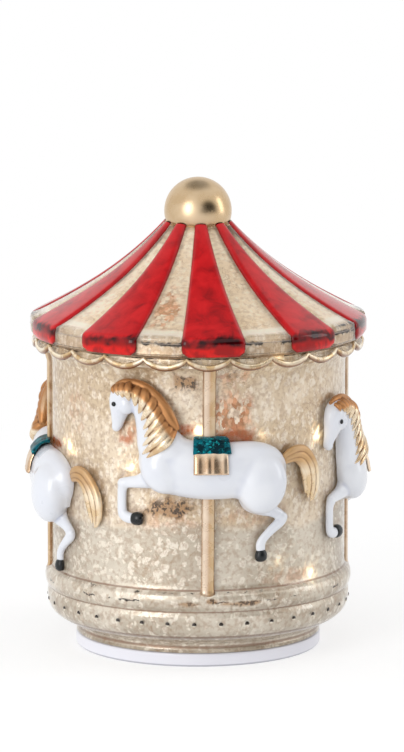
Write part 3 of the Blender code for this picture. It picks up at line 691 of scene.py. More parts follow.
def buildScallops(beadGold):
    # a soft bead that thickens into a crescent at the bottom of each lobe
    look = tent
    perLobe = 20
    steps = look["lobes"] * perLobe
    curve = bpy.data.curves.new("scallopBead", "CURVE")
    curve.dimensions = "3D"
    curve.bevel_depth = mm
    curve.bevel_resolution = 4
    spline = curve.splines.new("POLY")
    spline.points.add(steps - 1)
    cove = look["cove"][3:9]
    for step in range(steps):
        angle = step * 360 / steps
        share = (look["cusp"] - lobeEdge(angle)) / look["drop"]
        height = lobeEdge(angle)
        for (upper, top), (lower, bottom) in zip(cove, cove[1:]):
            if bottom <= height <= top:
                radius = upper + (lower - upper) * (top - height) / (top - bottom)
        radius = radius + 0.25 * share
        turn = math.radians(angle)
        spline.points[step].co = (radius * mm * math.sin(turn), -radius * mm * math.cos(turn), height * mm, 1)
        spline.points[step].radius = look["beadThin"] + (look["beadThick"] - look["beadThin"]) * share
    spline.use_cyclic_u = True
    bead = finished(curve)
    # painted shade on the bead's underside
    under = bead.attributes.new("under", "FLOAT", "POINT").data
    for vertex, value in zip(bead.vertices, under):
        value.value = min(1.0, max(0.0, 0.3 - vertex.normal.z * 1.3))
    addPiece("scallopBead", bead, [beadGold], ["scallop_trim"], "gold_paint")
    print("scallops:", look["lobes"])


redPaint = {
    "tones": [(0.3, "#950A11"), (0.48, "#BC0F16"), (0.66, "#CE181D")], "edgeTones": ("#960505", "#D4120C"),
    "edgeFrom": 132.2, "edgeTo": 130.8, "darkFoldReflection": "#2A0205", "darkFoldHeight": 131.9, "darkFoldHalf": 2.7,
    "darkFoldWaver": 7.0, "edgeDarkening": "#6A060A",
}


def redLacquer():
    # translucent red lacquer on silvered glass, darker along the panel edges, with a painted dark reflection
    # along the fold
    look = redPaint
    material, tree, shader, coords = newMaterial("translucentRedLacquer")
    height = addNode(tree, "SeparateXYZ", coords)
    streaks = addNode(tree, "Mapping", coords, Scale=(1, 1, 0.4))
    drift = addNode(tree, "TexNoise", streaks, Scale=spots(4.0), Detail=4.0, Distortion=0.6)
    # the upright edge catches more light through the glass
    edge = addNode(tree, "Mix", addNode(tree, "MapRange", drift, 0.38, 0.58), *look["edgeTones"])
    edgeHere = addNode(tree, "MapRange", height, look["edgeFrom"] * mm, look["edgeTo"] * mm)
    # painted dark reflection: maroon blotches along the fold
    darkFoldMask = addNode(tree, "TexNoise", coords, Scale=spots(5.0), Detail=3.0)
    darkFoldMask = addNode(tree, "MapRange", darkFoldMask, 0.38, 0.58, 0.5, 1.0)
    uneven = addNode(tree, "Math", drift, look["darkFoldWaver"] * mm, height, operation="MULTIPLY_ADD")
    fold = band(tree, uneven, look["darkFoldHeight"] + look["darkFoldWaver"] / 2, look["darkFoldHalf"])
    waves = addNode(tree, "TexNoise", coords, Scale=spots(7.0))
    setInputs(tree, shader, {
        "Base Color": laidOver(tree, addNode(tree, "ValToRGB", drift, stops=look["tones"]), [
            (edge, edgeHere), (look["darkFoldReflection"], fold, darkFoldMask),
            (look["edgeDarkening"], addNode(tree, "Attribute", attribute_name="edgeDarkening"))]),
        "Roughness": 0.4, "Specular IOR Level": 0.02, "Coat Weight": 1.0, "Coat IOR": 1.34,
        "Coat Roughness": 0.04, "Normal": addNode(tree, "Bump", Height=waves, Distance=0.16 * mm)})
    return material


# paints laid on by hand, so that tone and gloss drift a little: size and detail of the drift, the two tones
# and where they meet, lowest and highest roughness, depth of the brush marks in mm, and the tones that lie
# over them where the mesh's attributes say
paintPots = {
    # white gloss enamel, with painted shade: bluer in the hollows
    "whiteEnamel": {"drift": (12.0, 3.0), "tones": ("#D7DAE2", "#E0E2E7"), "meet": (0.3, 0.7),
                    "gloss": (0.26, 0.4), "depth": 0.03, "over": {"hollowShade": "#A9AFC6"},
                    "inputs": {"Specular IOR Level": 0.5, "Coat Weight": 0.5, "Coat Roughness": 0.1}},
    # black gloss enamel, with painted shade in the hollows
    "blackEnamel": {"drift": (3.0, 3.0), "tones": ("#080B0D", "#12171A"), "meet": (0.3, 0.7),
                    "gloss": (0.26, 0.4), "depth": 0.03, "over": {"hollowShade": "#05070A"},
                    "inputs": {"Specular IOR Level": 0.3, "Coat Weight": 0.3, "Coat Roughness": 0.1}},
    # champagne gold on the locks, browner and duller on the crest, with painted shade in the gaps
    "maneGold": {"drift": (3.0, 4.0), "tones": ("#D2B288", "#F0E0C6"), "meet": (0.35, 0.65),
                 "gloss": (0.2, 0.3), "depth": 0.04, "over": {"crest": "#B88252", "hollowShade": "#6E4626"},
                 "dull": ("crest", 0.2), "inputs": {"Metallic": 0.7}},
    # the tail the same way, with painted shade in its hollows
    "tailGold": {"drift": (3.0, 4.0), "tones": ("#DFC298", "#F0DEC2"), "meet": (0.35, 0.65),
                 "gloss": (0.24, 0.36), "depth": 0.04, "over": {"crest": "#BC905C", "hollowShade": "#7E5632"},
                 "dull": ("crest", 0.2), "inputs": {"Metallic": 0.5}},
    # cream leaf on the scallop bead, with painted shade: coppery brown where it turns under
    "crescentGold": {"drift": (2.5, 3.0), "tones": ("#D0AE78", "#F8EACE"), "meet": (0.35, 0.65),
                     "gloss": (0.2, 0.35), "depth": 0.04, "over": {"under": "#7C4A22"},
                     "inputs": {"Metallic": 0.5, "Coat Weight": 0.8}},
    # burnished gold of the saddle flaps, satin gold of the ball, and enamelled copper wire
    "bronzeGold": {"drift": (5.0, 4.0), "tones": ("#C8A888", "#EAD6BE"), "meet": (0.35, 0.65),
                   "gloss": (0.225, 0.39), "depth": 0.03, "inputs": {"Metallic": 0.85}},
    "satinGold": {"drift": (9.0, 4.0), "tones": ("#C8AC86", "#DBC3A2"), "meet": (0.35, 0.65),
                  "gloss": (0.225, 0.39), "depth": 0.03, "inputs": {"Metallic": 0.97}},
    "enamelledCopper": {"drift": (3.0, 4.0), "tones": ("#A86A3C", "#C98A5A"), "meet": (0.35, 0.65),
                        "gloss": (0.225, 0.39), "depth": 0.03, "inputs": {"Metallic": 0.9}},
}
# pale gold of the poles, with painted light and shade: pinker and lighter on the left half, tan on the right,
# brown at the edges
poleLightAndShade = [(0.03, "#A68260"), (0.14, "#DAC6B0"), (0.42, "#D4BAA2"), (0.58, "#C09C72"), (0.88, "#CCAE84"),
             (0.97, "#845C34")]


def handPaint(name):
    look = paintPots[name]
    material, tree, shader, coords = newMaterial(name)
    size, detail = look["drift"]
    drift = addNode(tree, "TexNoise", coords, Scale=spots(size), Detail=detail)
    colour = addNode(tree, "Mix", addNode(tree, "MapRange", drift, *look["meet"]), *look["tones"])
    gloss = addNode(tree, "MapRange", drift, 0.3, 0.7, *look["gloss"])
    if "dull" in look:
        attribute, more = look["dull"]
        worn = addNode(tree, "Attribute", attribute_name=attribute)
        gloss = addNode(tree, "Math", worn, more, gloss, operation="MULTIPLY_ADD")
    setInputs(tree, shader, {
        "Base Color": laidOver(tree, colour, [(over, addNode(tree, "Attribute", attribute_name=attribute))
                                              for attribute, over in look.get("over", {}).items()]),
        "Roughness": gloss, "Normal": addNode(tree, "Bump", Height=drift, Distance=look["depth"] * mm),
        **look["inputs"]})
    return material


def poleGold():
    # thin metallic paint brushed along the pole
    material, tree, shader, coords = newMaterial("poleGold")
    drift = addNode(tree, "TexNoise", coords, Scale=spots(4.0), Detail=4.0)
    across = addNode(tree, "Attribute", attribute_name="across")
    streaked = addNode(tree, "MapRange", drift, 0.4, 0.7, 0.0, 0.35)
    tone = addNode(tree, "ValToRGB", across, stops=poleLightAndShade)
    setInputs(tree, shader, {
        "Base Color": addNode(tree, "Mix", streaked, tone, "#EEDEC8"), "Metallic": 0.4,
        "Roughness": addNode(tree, "MapRange", drift, 0.3, 0.7, 0.2, 0.34),
        "Normal": addNode(tree, "Bump", Height=drift, Distance=0.03 * mm)})
    return material


def studGlass():
    # a dimple in the mould, painted nearly black as shade, with a painted highlight, a bright crescent, below
    # it
    material, tree, shader, coords = newMaterial("studDimple")
    height = addNode(tree, "SeparateXYZ", coords)
    rough = addNode(tree, "TexNoise", coords, Scale=spots(1.5))
    rough = addNode(tree, "Math", rough, 1.2 * mm, height, operation="MULTIPLY_ADD")
    middle = drum["studHeight"]
    dark = addNode(tree, "MapRange", rough, (middle - 0.1) * mm, (middle + 0.5) * mm)
    colour = addNode(tree, "Mix", dark, "#F0E6D4", "#2A211A")
    setInputs(tree, shader, {"Base Color": colour, "Roughness": 0.2})
    return material


def tealGlitter():
    # dark teal enamel full of glitter flakes, drawn about two thirds of a millimetre across so that they show
    material, tree, shader, coords = newMaterial("tealGlitter")
    flakes = addNode(tree, "TexVoronoi", coords, Scale=1500.0, output="Color")
    bright = addNode(tree, "MapRange", addNode(tree, "SeparateColor", flakes), 0.8, 0.99, 0.0, 0.85)
    tilt = addNode(tree, "SeparateColor", flakes, output="Green")
    patchy = addNode(tree, "TexNoise", coords, Scale=spots(2.5), Detail=3.0)
    deep = addNode(tree, "Mix", addNode(tree, "MapRange", patchy, 0.42, 0.58), "#00262F", "#006472")
    setInputs(tree, shader, {
        "Base Color": addNode(tree, "Mix", bright, deep, "#18A0A6"), "Metallic": 0.1, "Roughness": 0.45,
        "Specular IOR Level": 0.04, "Coat Weight": 0.08, "Sheen Weight": 0.25, "Sheen Roughness": 0.3,
        "Normal": addNode(tree, "Bump", Height=tilt, Distance=0.08 * mm)})
    return material


def mouldedPlastic(name, colour, roughness):
    # injection-moulded ABS with a fine even grain, and painted shadow along the edge that it stands on
    material, tree, shader, coords = newMaterial(name)
    height = addNode(tree, "SeparateXYZ", coords)
    grain = addNode(tree, "TexNoise", coords, Scale=spots(0.5))
    broad = addNode(tree, "TexNoise", coords, Scale=spots(18.0))
    cloudy = addNode(tree, "MapRange", broad, 0.35, 0.65, 0.0, 0.05)
    contactShadow = addNode(tree, "MapRange", height, 1.1 * mm, 0.3 * mm, 0.0, 0.6)
    setInputs(tree, shader, {
        "Base Color": laidOver(tree, colour, [("#8888A0", cloudy), ("#6C6C78", contactShadow)]),
        "Roughness": addNode(tree, "MapRange", broad, 0.3, 0.7, roughness * 0.9, roughness * 1.1),
        "Normal": addNode(tree, "Bump", Height=grain, Distance=0.01 * mm)})
    return material


def litBead():
    # a drop of clear resin over a warm lamp
    material, tree, shader, coords = newMaterial("litResinBead")
    cloudy = addNode(tree, "TexNoise", coords, Scale=spots(1.0))
    setInputs(tree, shader, {
        "Base Color": addNode(tree, "Mix", cloudy, "#FFE9C0", "#FFDDA0"), "Emission Strength": 3.0,
        "Emission Color": addNode(tree, "Mix", addNode(tree, "LayerWeight", 0.4), "#FFF6DC", "#FFC060")})
    return material


# ball, foot and lamps

ball = {"radius": 13.45, "centre": 175.1, "seat": 170.0, "steps": 120, "rings": 48}


def buildBall(gold):
    # round down to its flat seat
    look = ball
    radius, seat, rings = look["radius"], look["seat"], look["rings"]
    low = math.asin((seat - look["centre"]) / radius)
    outline = []
    for step in range(rings + 1):
        angle = math.pi / 2 + (low - math.pi / 2) * step / rings
        outline.append((max(radius * math.cos(angle), 0.0), look["centre"] + radius * math.sin(angle)))
    rim = outline[-1][0]
    # a thin bead of glue, painted with it, seats the ball on the glass
    outline += [(rim + 0.5, seat + 0.1), (rim + 1.0, seat - 0.1), (rim + 1.1, seat - 0.25),
                (0.0, seat - 0.25)]
    work = spun(outline, look["steps"], closed=False)
    addPiece("satinBall", asMesh(work, "satinBall"), [gold], ["finial_ball"], "gold_paint", sharp=50)
    print("ball done")


foot = {"radius": 49.15, "height": 5.35, "lip": 4.0, "soft": 1.3, "steps": 240}


def buildFoot(plastic):
    # a smooth ring round the CAD foot, with the soft lower edge that meets the table
    look = foot
    r, h, soft = look["radius"], look["height"], look["soft"]
    outline = [(r - look["lip"], h), (r - 0.9, h), (r - 0.3, h - 0.15), (r - 0.05, h - 0.5), (r, h - 1.0),
               (r, soft)]
    for step in range(1, 9):
        angle = math.pi / 2 * step / 8
        outline.append((r - soft * (1 - math.cos(angle)), soft * (1 - math.sin(angle))))
    outline.append((r - look["lip"], 0.0))
    mesh = asMesh(spun(outline, look["steps"]), "footRing")
    addPiece("footRing", mesh, [plastic], [], "white_plastic", sharp=50)
    print("foot ring done")


lampString = {"coilRadius": 55.9, "bottom": 26.0, "top": 121.0, "turns": 2.25, "points": 54,
              "start": -142.0, "every": 4, "first": 2, "bead": 1.55}


def buildLamps(bead):
    # a lit drop over each bead of the CAD's wire, at every few of the points that the wire runs through
    look = lampString
    work = bmesh.new()
    for index in range(look["first"], look["points"], look["every"]):
        share = index / (look["points"] - 1)
        turn = math.radians(look["start"]) + share * look["turns"] * math.tau
        place = Vector((look["coilRadius"] * math.cos(turn), look["coilRadius"] * math.sin(turn),
                        look["bottom"] + share * (look["top"] - look["bottom"])))
        bmesh.ops.create_uvsphere(work, u_segments=16, v_segments=10, radius=look["bead"] * mm,
                                  matrix=Matrix.Translation(place * mm))
    addPiece("lampBeads", asMesh(work, "lampBeads"), [bead], [], "lamp_wire")
    print("lamp beads done")


# poles and horses, made flat and then bent round the drum

def bend(work):
    # x runs round the drum from the pole, -y outwards
    for vertex in work.verts:
        turn = vertex.co.x / (drum["radius"] * mm)
        reach = drum["radius"] * mm - vertex.co.y
        vertex.co = (reach * math.sin(turn), -reach * math.cos(turn), vertex.co.z)


def quarterCopy(work, index, drop):
    # a copy some quarter turns on, hung lower by drop mm
    copy = work.copy()
    turn = Matrix.Rotation(index * math.pi / 2, 3, "Z")
    bmesh.ops.rotate(copy, verts=copy.verts, cent=(0, 0, 0), matrix=turn)
    bmesh.ops.translate(copy, verts=copy.verts, vec=(0, 0, -drop * mm))
    return copy


poles = {"radius": 2.6, "bottom": 31.0, "top": 121.4, "depth": 0.6, "lean": 0.009, "flare": 1.5}


def buildPoles(gold):
    look = poles
    r = look["radius"]
    line = [(0.0, look["bottom"] - 0.6), (r * 0.7, look["bottom"] - 0.5), (r * 1.1, look["bottom"]),
            (r * 1.2, look["bottom"] + 0.7), (r * 1.05, look["bottom"] + 1.4), (r, look["bottom"] + 2.0)]
    work = spun(evenLine(line + [(r, look["top"]), (0.0, look["top"])], 6.0), 40, closed=False)
    # across the pole, for its painted light and shade
    layer = work.verts.layers.float.new("across")
    for vertex in work.verts:
        vertex[layer] = 0.5 + vertex.co.x / (2 * r * mm)
        vertex.co.y *= look["depth"]
        vertex.co.x += (vertex.co.z - look["bottom"] * mm) * look["lean"]
        # it runs out with the cove under the eave
        vertex.co.y -= look["flare"] * mm * max(0.0, (vertex.co.z / mm - 115.5) / 5.5) ** 2
    bend(work)
    for index in range(4):
        name = f"pole{index + 1}"
        mesh = asMesh(quarterCopy(work, index, 0), name)
        addPiece(name, mesh, [gold], [f"pole_{index + 1}"], "gold_paint", sharp=60)
    work.free()
    print("poles: 4")


def limb(work, stations, depth, sides=16, perSpan=4):
    # a tapered limb through (along, height, out, radius) stations, its section depth times as deep as wide
    curve = bpy.data.curves.new("limb", "CURVE")
    curve.dimensions = "3D"
    curve.bevel_depth = mm
    curve.bevel_resolution = sides // 4
    curve.use_fill_caps = True
    line = smoothLine(stations, perSpan)
    spline = curve.splines.new("POLY")
    spline.points.add(len(line) - 1)
    for point, (along, height, out, radius) in zip(spline.points, line):
        point.co = (along * mm, -out * mm / depth, height * mm, 1)
        point.radius = max(radius, 0.05)
    mesh = finished(curve)
    mesh.transform(Matrix.Diagonal((1, depth, 1, 1)))
    work.from_mesh(mesh)
    bpy.data.meshes.remove(mesh)
    bpy.data.curves.remove(curve)


def muscle(work, along, height, out, long, tall, thick, tilt=0.0):
    # a rounded form laid into the relief and tilted in its plane
    place = Matrix.Translation(Vector((along, -out, height)) * mm)
    tilted = Matrix.Rotation(math.radians(-tilt), 4, "Y")
    bmesh.ops.create_uvsphere(work, u_segments=24, v_segments=16, radius=mm,
                              matrix=place @ tilted @ Matrix.Diagonal((long, thick, tall, 1)))


def markHollows(work, reach, gain):
    # painted shade: how deep each vertex lies in a hollow, evened out over its neighbours
    work.verts.index_update()
    work.normal_update()
    near = [[edge.other_vert(vertex) for edge in vertex.link_edges] for vertex in work.verts]
    depths = [(sum((other.co for other in others), Vector()) / len(others) - vertex.co).dot(vertex.normal)
              for vertex, others in zip(work.verts, near)]
    for smoothing in range(reach):
        depths = [(depth + sum(depths[other.index] for other in others)) / (len(others) + 1)
                  for depth, others in zip(depths, near)]
    layer = work.verts.layers.float.new("hollowShade")
    for vertex, depth in zip(work.verts, depths):
        vertex[layer] = min(1.0, max(0.0, depth / mm * gain))


def fused(work, voxel, smoothing):
    # one soft skin over all the forms
    bmesh.ops.remove_doubles(work, verts=work.verts, dist=0.0005 * mm)
    bmesh.ops.recalc_face_normals(work, faces=work.faces)
    mesh = finished(asMesh(work, "forms"), [
        ("REMESH", {"mode": "VOXEL", "voxel_size": voxel * mm}),
        ("SMOOTH", {"factor": 0.5, "iterations": smoothing})])
    skin = bmesh.new()
    skin.from_mesh(mesh)
    bpy.data.meshes.remove(mesh)
    return skin


def sculpted(work, voxel, smoothing, back=0.3, reach=3, gain=30.0):
    # the same, cut flat where it lies against the glass
    skin = fused(work, voxel, smoothing)
    bmesh.ops.bisect_plane(skin, geom=skin.verts[:] + skin.edges[:] + skin.faces[:], dist=0.0001 * mm,
                           plane_co=(0, -back * mm, 0), plane_no=(0, 1, 0), clear_outer=True)
    bmesh.ops.holes_fill(skin, edges=[edge for edge in skin.edges if edge.is_boundary], sides=0)
    bmesh.ops.triangulate(skin, faces=[face for face in skin.faces if len(face.verts) > 4])
    bmesh.ops.recalc_face_normals(skin, faces=skin.faces)
    markHollows(skin, reach, gain)
    return skin


horse = {
    "drops": (0.0, 11.2, 0.0, 9.9), "bulkVoxel": 0.6, "bulkSmoothing": 45, "voxel": 0.42, "smoothing": 6,
    # along the drum from the pole, height, out from the glass, radius
    "trunk": (0.68, [(-26.0, 82.6, 1.2, 2.0), (-24.8, 82.8, 1.3, 6.0), (-20.6, 82.8, 1.4, 9.4),
                     (-13.0, 82.4, 1.2, 11.4), (-2.0, 81.0, 1.0, 11.8), (8.7, 80.8, 1.0, 11.5),
                     (16.3, 81.0, 1.0, 11.3), (22.0, 80.2, 1.0, 10.8), (27.0, 79.4, 1.0, 8.8),
                     (30.4, 78.8, 1.0, 5.0), (31.5, 78.6, 1.0, 2.0)]),
    "neck": (0.82, [(-15.2, 86.5, 1.2, 10.0), (-18.8, 92.0, 1.2, 9.0), (-20.8, 97.6, 1.2, 7.2),
                    (-22.4, 103.0, 1.4, 6.3), (-24.8, 107.6, 1.8, 5.7), (-28.0, 110.6, 2.2, 4.6)]),
    "head": (0.9, [(-28.6, 110.9, 2.0, 4.2), (-32.4, 109.8, 2.2, 5.2), (-33.9, 106.6, 2.2, 4.8),
                   (-34.8, 103.0, 1.9, 3.7), (-35.7, 99.6, 1.4, 2.7), (-36.4, 97.0, 1.0, 2.1),
                   (-36.6, 95.9, 0.9, 1.6)]),
    "foreLeg": (0.8, [(-18.0, 80.0, 1.4, 6.5), (-22.5, 77.4, 1.2, 4.4), (-26.5, 75.9, 1.1, 2.9),
                      (-30.5, 75.2, 1.0, 2.35), (-33.4, 74.4, 1.0, 2.25), (-34.3, 71.6, 0.9, 2.0),
                      (-34.4, 67.5, 0.9, 1.9), (-34.3, 63.8, 0.9, 2.0), (-33.5, 61.8, 0.9, 2.2),
                      (-31.4, 60.9, 0.9, 2.25), (-29.4, 60.8, 0.9, 2.2)]),
    "hindLeg": (0.8, [(20.0, 77.0, 1.2, 10.6), (20.0, 72.0, 1.2, 9.0), (20.2, 68.6, 1.1, 7.4),
                      (22.5, 65.8, 1.1, 4.4), (26.0, 63.6, 1.0, 2.7), (29.0, 61.8, 1.0, 2.25),
                      (30.4, 60.2, 1.0, 2.3), (29.2, 58.5, 1.0, 2.2), (25.5, 55.7, 0.9, 1.9),
                      (22.2, 52.6, 0.9, 1.8), (21.1, 50.3, 0.9, 1.95), (21.3, 47.9, 0.9, 1.9)]),
    # along, height, out, half length, half height, half thickness, tilt
    "bulk": [(-17.6, 81.4, 4.2, 7.2, 10.0, 6.2, 20), (20.2, 75.6, 4.8, 9.4, 12.4, 7.4, -6)],
    "joints": [(-31.2, 106.2, 3.6, 3.5, 3.9, 3.3, 0), (-35.0, 108.4, 3.2, 2.3, 2.6, 2.9, 0),
               (-36.4, 96.8, 1.6, 1.9, 2.0, 1.8, 0), (-33.6, 74.5, 1.3, 2.4, 2.3, 1.9, 0),
               (30.4, 60.6, 1.3, 2.3, 2.2, 1.9, 0)],
    "eye": (-34.7, 106.6, 6.55), "eyeSize": 0.85,
}


def buildBody():
    # the trunk, neck and thigh run into one another, and then the head and the legs go on
    look = horse
    work = bmesh.new()
    for limbs, forms in ((("trunk", "neck", "hindLeg"), "bulk"), (("head", "foreLeg", "hindLeg"), "joints")):
        for name in limbs:
            depth, stations = look[name]
            limb(work, stations if forms == "joints" or name != "hindLeg" else stations[:4], depth, 20)
        for form in look[forms]:
            muscle(work, *form)
        if forms == "bulk":
            work = fused(work, look["bulkVoxel"], look["bulkSmoothing"])
    return sculpted(work, look["voxel"], look["smoothing"], reach=8, gain=40.0)


def buildEye():
    work = bmesh.new()
    size = horse["eyeSize"]
    muscle(work, *horse["eye"], size, size * 1.1, size * 0.7)
    bend(work)
    return work


mane = {
    "voxel": 0.28, "smoothing": 2, "crestEdge": 3.4,
    "crest": [(-36.2, 113.7, 2.0, 0.7), (-32.5, 114.9, 2.4, 1.3), (-27.4, 114.8, 2.6, 1.7),
              (-23.2, 113.0, 3.0, 2.0), (-19.8, 110.0, 3.3, 2.4), (-16.8, 106.1, 3.6, 2.8),
              (-14.5, 102.1, 4.0, 2.8), (-12.6, 99.2, 4.2, 2.1), (-11.2, 97.2, 4.4, 1.0)],
    # root, middle and tip of each lock along the crest, and its half width
    "locks": [((-35.4, 113.6), (-35.3, 112.2), (-35.0, 110.6), 0.75),
              ((-33.7, 114.2), (-33.4, 112.2), (-32.8, 110.0), 0.9),
              ((-31.8, 114.4), (-31.4, 112.0), (-31.0, 109.4), 1.15),
              ((-29.6, 114.4), (-29.2, 111.4), (-29.0, 108.0), 1.35),
              ((-26.8, 114.0), (-26.0, 110.6), (-26.6, 106.2), 1.8),
              ((-23.4, 112.4), (-23.0, 108.6), (-25.2, 103.4), 1.8),
              ((-20.4, 109.8), (-20.8, 106.0), (-24.2, 100.8), 1.9),
              ((-18.4, 107.2), (-19.2, 103.0), (-23.4, 97.4), 1.8),
              ((-17.0, 104.8), (-18.0, 100.2), (-22.8, 94.4), 1.95),
              ((-15.4, 102.2), (-17.0, 97.4), (-23.4, 91.0), 1.95),
              ((-14.0, 99.6), (-16.2, 94.6), (-23.6, 87.6), 2.0),
              ((-12.6, 97.8), (-15.2, 92.4), (-21.6, 86.6), 1.7)],
}


def skinOut(tree, along, height):
    # how far the horse stands out from the glass at a spot
    hit = tree.ray_cast(Vector((along, -30.0, height)) * mm, Vector((0, 1, 0)))[0]
    return -hit.y / mm if hit else 0.0


def buildMane(tree):
    look = mane
    work = bmesh.new()
    limb(work, look["crest"], 1.0, 20)
    for root, middle, tip, width in look["locks"]:
        row = []
        line = smoothLine([root, middle, tip], 5)
        for step, (along, height) in enumerate(line):
            # each lock swells over the neck and runs out to a thin tip
            share = step / (len(line) - 1)
            arch = 0.6 * math.sin(math.pi * min(1.0, share * 1.2))
            belly = 0.8 + 0.35 * math.sin(math.pi * min(1.0, share * 1.3))
            out = max(skinOut(tree, along, height), 1.5) + 0.1 + arch
            row.append((along, height, out, width * belly * (1 - share ** 4) + 0.12))
        limb(work, row, 0.9, 12, 2)
    skin = sculpted(work, look["voxel"], look["smoothing"], gain=65.0)
    # the crest keeps its browner gold
    line = [(along, height) for along, height, out, radius in smoothLine(look["crest"], 6)]
    layer = skin.verts.layers.float.new("crest")
    for vertex in skin.verts:
        away = min(math.dist((vertex.co.x / mm, vertex.co.z / mm), spot) for spot in line)
        vertex[layer] = min(1.0, max(0.0, (look["crestEdge"] - away) * 0.9))
    bend(skin)
    return skin


tail = {
    "voxel": 0.28, "smoothing": 2, "fallTop": 78.0,
    "strands": [
        [(31.0, 84.4, 1.0, 1.0), (33.8, 86.4, 1.8, 1.4), (37.4, 87.4, 2.2, 1.5), (41.0, 86.4, 2.2, 1.5),
         (44.6, 82.8, 2.0, 1.5), (46.9, 78.6, 1.8, 1.5), (47.9, 73.8, 1.6, 1.4), (47.7, 69.4, 1.4, 1.1),
         (46.2, 65.2, 1.2, 0.3)],
        [(31.4, 83.2, 1.0, 1.0), (34.6, 84.8, 1.8, 1.4), (38.2, 85.0, 2.1, 1.5), (41.6, 83.0, 2.1, 1.5),
         (44.2, 79.0, 1.9, 1.6), (45.4, 74.2, 1.7, 1.5), (45.7, 69.4, 1.4, 1.1), (45.2, 64.8, 1.1, 0.3)],
        [(31.8, 82.2, 1.0, 0.9), (35.0, 83.2, 1.6, 1.2), (38.2, 82.8, 1.9, 1.4), (40.8, 80.2, 1.9, 1.5),
         (42.6, 76.0, 1.7, 1.5), (43.4, 71.2, 1.5, 1.2), (43.8, 66.4, 1.1, 0.3)],
        [(37.4, 82.2, 1.2, 0.8), (39.8, 80.0, 1.5, 1.1), (41.2, 76.2, 1.5, 1.2), (42.0, 72.0, 1.3, 0.9),
         (42.3, 68.6, 1.0, 0.3)],
    ],
}


def buildTail():
    work = bmesh.new()
    for strand in tail["strands"]:
        limb(work, strand, 0.95, 14)
    skin = sculpted(work, tail["voxel"], tail["smoothing"], gain=45.0)
    # the arch of the tail is browner than its fall
    layer = skin.verts.layers.float.new("crest")
    for vertex in skin.verts:
        vertex[layer] = min(0.8, max(0.0, (vertex.co.z / mm - tail["fallTop"]) / 6))
    bend(skin)
    return skin


hooves = {
    "voxel": 0.25, "smoothing": 2,
    "fore": [(-30.0, 60.8, 1.0, 1.9), (-28.9, 60.8, 1.0, 2.55), (-27.2, 60.9, 1.0, 2.7),
             (-25.8, 61.0, 1.0, 2.2), (-25.2, 61.0, 1.0, 1.2)],
    "hind": [(21.3, 48.2, 1.0, 1.8), (21.3, 46.9, 1.0, 2.35), (21.2, 45.4, 1.0, 2.5),
             (21.1, 44.3, 1.0, 2.1), (21.1, 43.7, 1.0, 1.2)],
}


def buildHoof(stations):
    work = bmesh.new()
    limb(work, stations, 0.9, 20)
    skin = sculpted(work, hooves["voxel"], hooves["smoothing"])
    bend(skin)
    return skin


saddle = {
    "barrel": (80.9, 11.75, 8.0, 1.0),      # middle height, half height, half depth, out
    # the blanket runs up to the top of the barrel, where its edge stays square for a while
    "blanket": {"span": (-5.4, 7.8), "low": 89.0, "high": 94.55, "lift": 1.9, "thick": 1.4, "roll": 2.0,
                "square": 2.0},
    "flap": {"span": (-5.2, 6.7), "low": 80.6, "high": 89.9, "lift": 1.15, "thick": 1.0, "roll": 0.7,
             "square": 0.0},
    "ribs": (0.13, 0.41, 0.58, 0.87),       # shares of the flap's width
}


def buildCloth(look, shape):
    # a sheet wrapped over the barrel between two heights, shaped across and down, with a rolled edge
    middle, tall, deep, out = saddle["barrel"]
    (left, right), lift = look["span"], look["lift"]
    start = math.asin((look["low"] - middle) / (tall + lift))
    end = math.asin(min(1.0, (look["high"] - middle) / (tall + lift)))
    work = bmesh.new()
    bmesh.ops.create_grid(work, x_segments=44, y_segments=30, size=1.0)
    width, length = right - left, (end - start) * (tall + lift)
    for vertex in work.verts:
        across, up = (vertex.co.x + 1) / 2, (vertex.co.y + 1) / 2
        edge = min(across * width, (1 - across) * width, up * length, (1 - up) * length + look["square"])
        raised = lift + shape(across, up) - 0.8 * (1 - edgeRound(edge, look["roll"]))
        turn = start + (end - start) * up
        along = left + width * across
        vertex.co = (along * mm, -(out + (deep + raised) * math.cos(turn)) * mm,
                     (middle + (tall + raised) * math.sin(turn)) * mm)
    bmesh.ops.recalc_face_normals(work, faces=work.faces)
    if sum(face.normal.y for face in work.faces) > 0:
        bmesh.ops.reverse_faces(work, faces=work.faces)
    mesh = finished(asMesh(work, "cloth"), [("SOLIDIFY", {"thickness": look["thick"] * mm, "offset": -1.0})])
    skin = bmesh.new()
    skin.from_mesh(mesh)
    bpy.data.meshes.remove(mesh)
    bend(skin)
    return skin


def blanketShape(across, up):
    # uneven, and hollow in the middle towards its lower edge
    rough = 0.28 * noise.noise(Vector((across * 5.0, up * 2.5, 1.0)))
    return rough - 0.35 * math.sin(math.pi * across) * (1 - up)


def flapShape(across, up):
    # upright ribs, and a lip along the lower edge
    ribs = sum(math.exp(-((across - rib) / 0.07) ** 2) for rib in saddle["ribs"])
    return 0.26 * ribs * (1 - up ** 4) - 0.1 + 0.35 * math.exp(-(up / 0.12) ** 2)


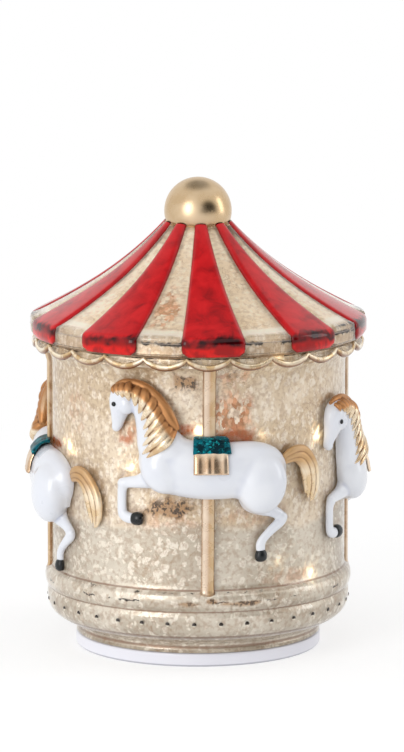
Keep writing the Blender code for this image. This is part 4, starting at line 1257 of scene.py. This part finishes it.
def buildHorses(teal):
    # four of each piece; it gives back the outlines that the horses leave on the glass
    body = buildBody()
    flat = BVHTree.FromBMesh(body)
    bend(body)
    outlines = kdtree.KDTree(16 * len(body.verts))
    black = handPaint("blackEnamel")
    pieces = [
        ("Body", body, handPaint("whiteEnamel"), "body", "white_enamel"),
        ("Mane", buildMane(flat), handPaint("maneGold"), "mane", "gold_paint"),
        ("Tail", buildTail(), handPaint("tailGold"), "tail", "gold_paint"),
        ("ForeHoof", buildHoof(hooves["fore"]), black, "fore_hoof", "black_enamel"),
        ("HindHoof", buildHoof(hooves["hind"]), black, "hind_hoof", "black_enamel"),
        ("Blanket", buildCloth(saddle["blanket"], blanketShape), teal, "blanket", "teal_enamel"),
        ("Flap", buildCloth(saddle["flap"], flapShape), handPaint("bronzeGold"), "saddle_flap", "gold_paint"),
        ("Eye", buildEye(), black, None, "black_enamel"),
    ]
    for label, work, finish, node, slot in pieces:
        print("horse", label, len(work.faces), "faces")
        for index, drop in enumerate(horse["drops"]):
            name = f"horse{index + 1}{label}"
            mesh = asMesh(quarterCopy(work, index, drop), name)
            stands = [f"horse_{index + 1}_{node}"] if node else []
            addPiece(name, mesh, [finish], stands, slot, sharp=75)
            if label in ("Body", "Mane", "Tail"):
                for vertex in mesh.vertices:
                    if math.hypot(vertex.co.x, vertex.co.y) < (drum["radius"] + 0.8) * mm:
                        outlines.insert(vertex.co / mm, vertex.index)
        work.free()
    outlines.balance()
    return outlines


def dressNode(name, material):
    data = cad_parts[name].data
    data.materials.clear()
    data.materials.append(material)


buildCamera()
buildLight()
buildFloor()
print("studio ready")
coat, clear = silverCoat(), clearGlass()
outlines = buildHorses(tealGlitter())
buildPoles(poleGold())
buildDrum(coat, clear, outlines)
buildStuds(studGlass())
buildTent(coat, clear)
buildPanels(redLacquer())
buildScallops(handPaint("crescentGold"))
buildBall(handPaint("satinGold"))
whiteAbs = mouldedPlastic("whiteAbs", "#E4E4EC", 0.35)
buildFoot(whiteAbs)
for nodeName in ("plinth", "battery_cover"):
    dressNode(nodeName, whiteAbs)
dressNode("light_switch", mouldedPlastic("blackAbs", "#151517", 0.5))
dressNode("lamp_string", handPaint("enamelledCopper"))
buildLamps(litBead())
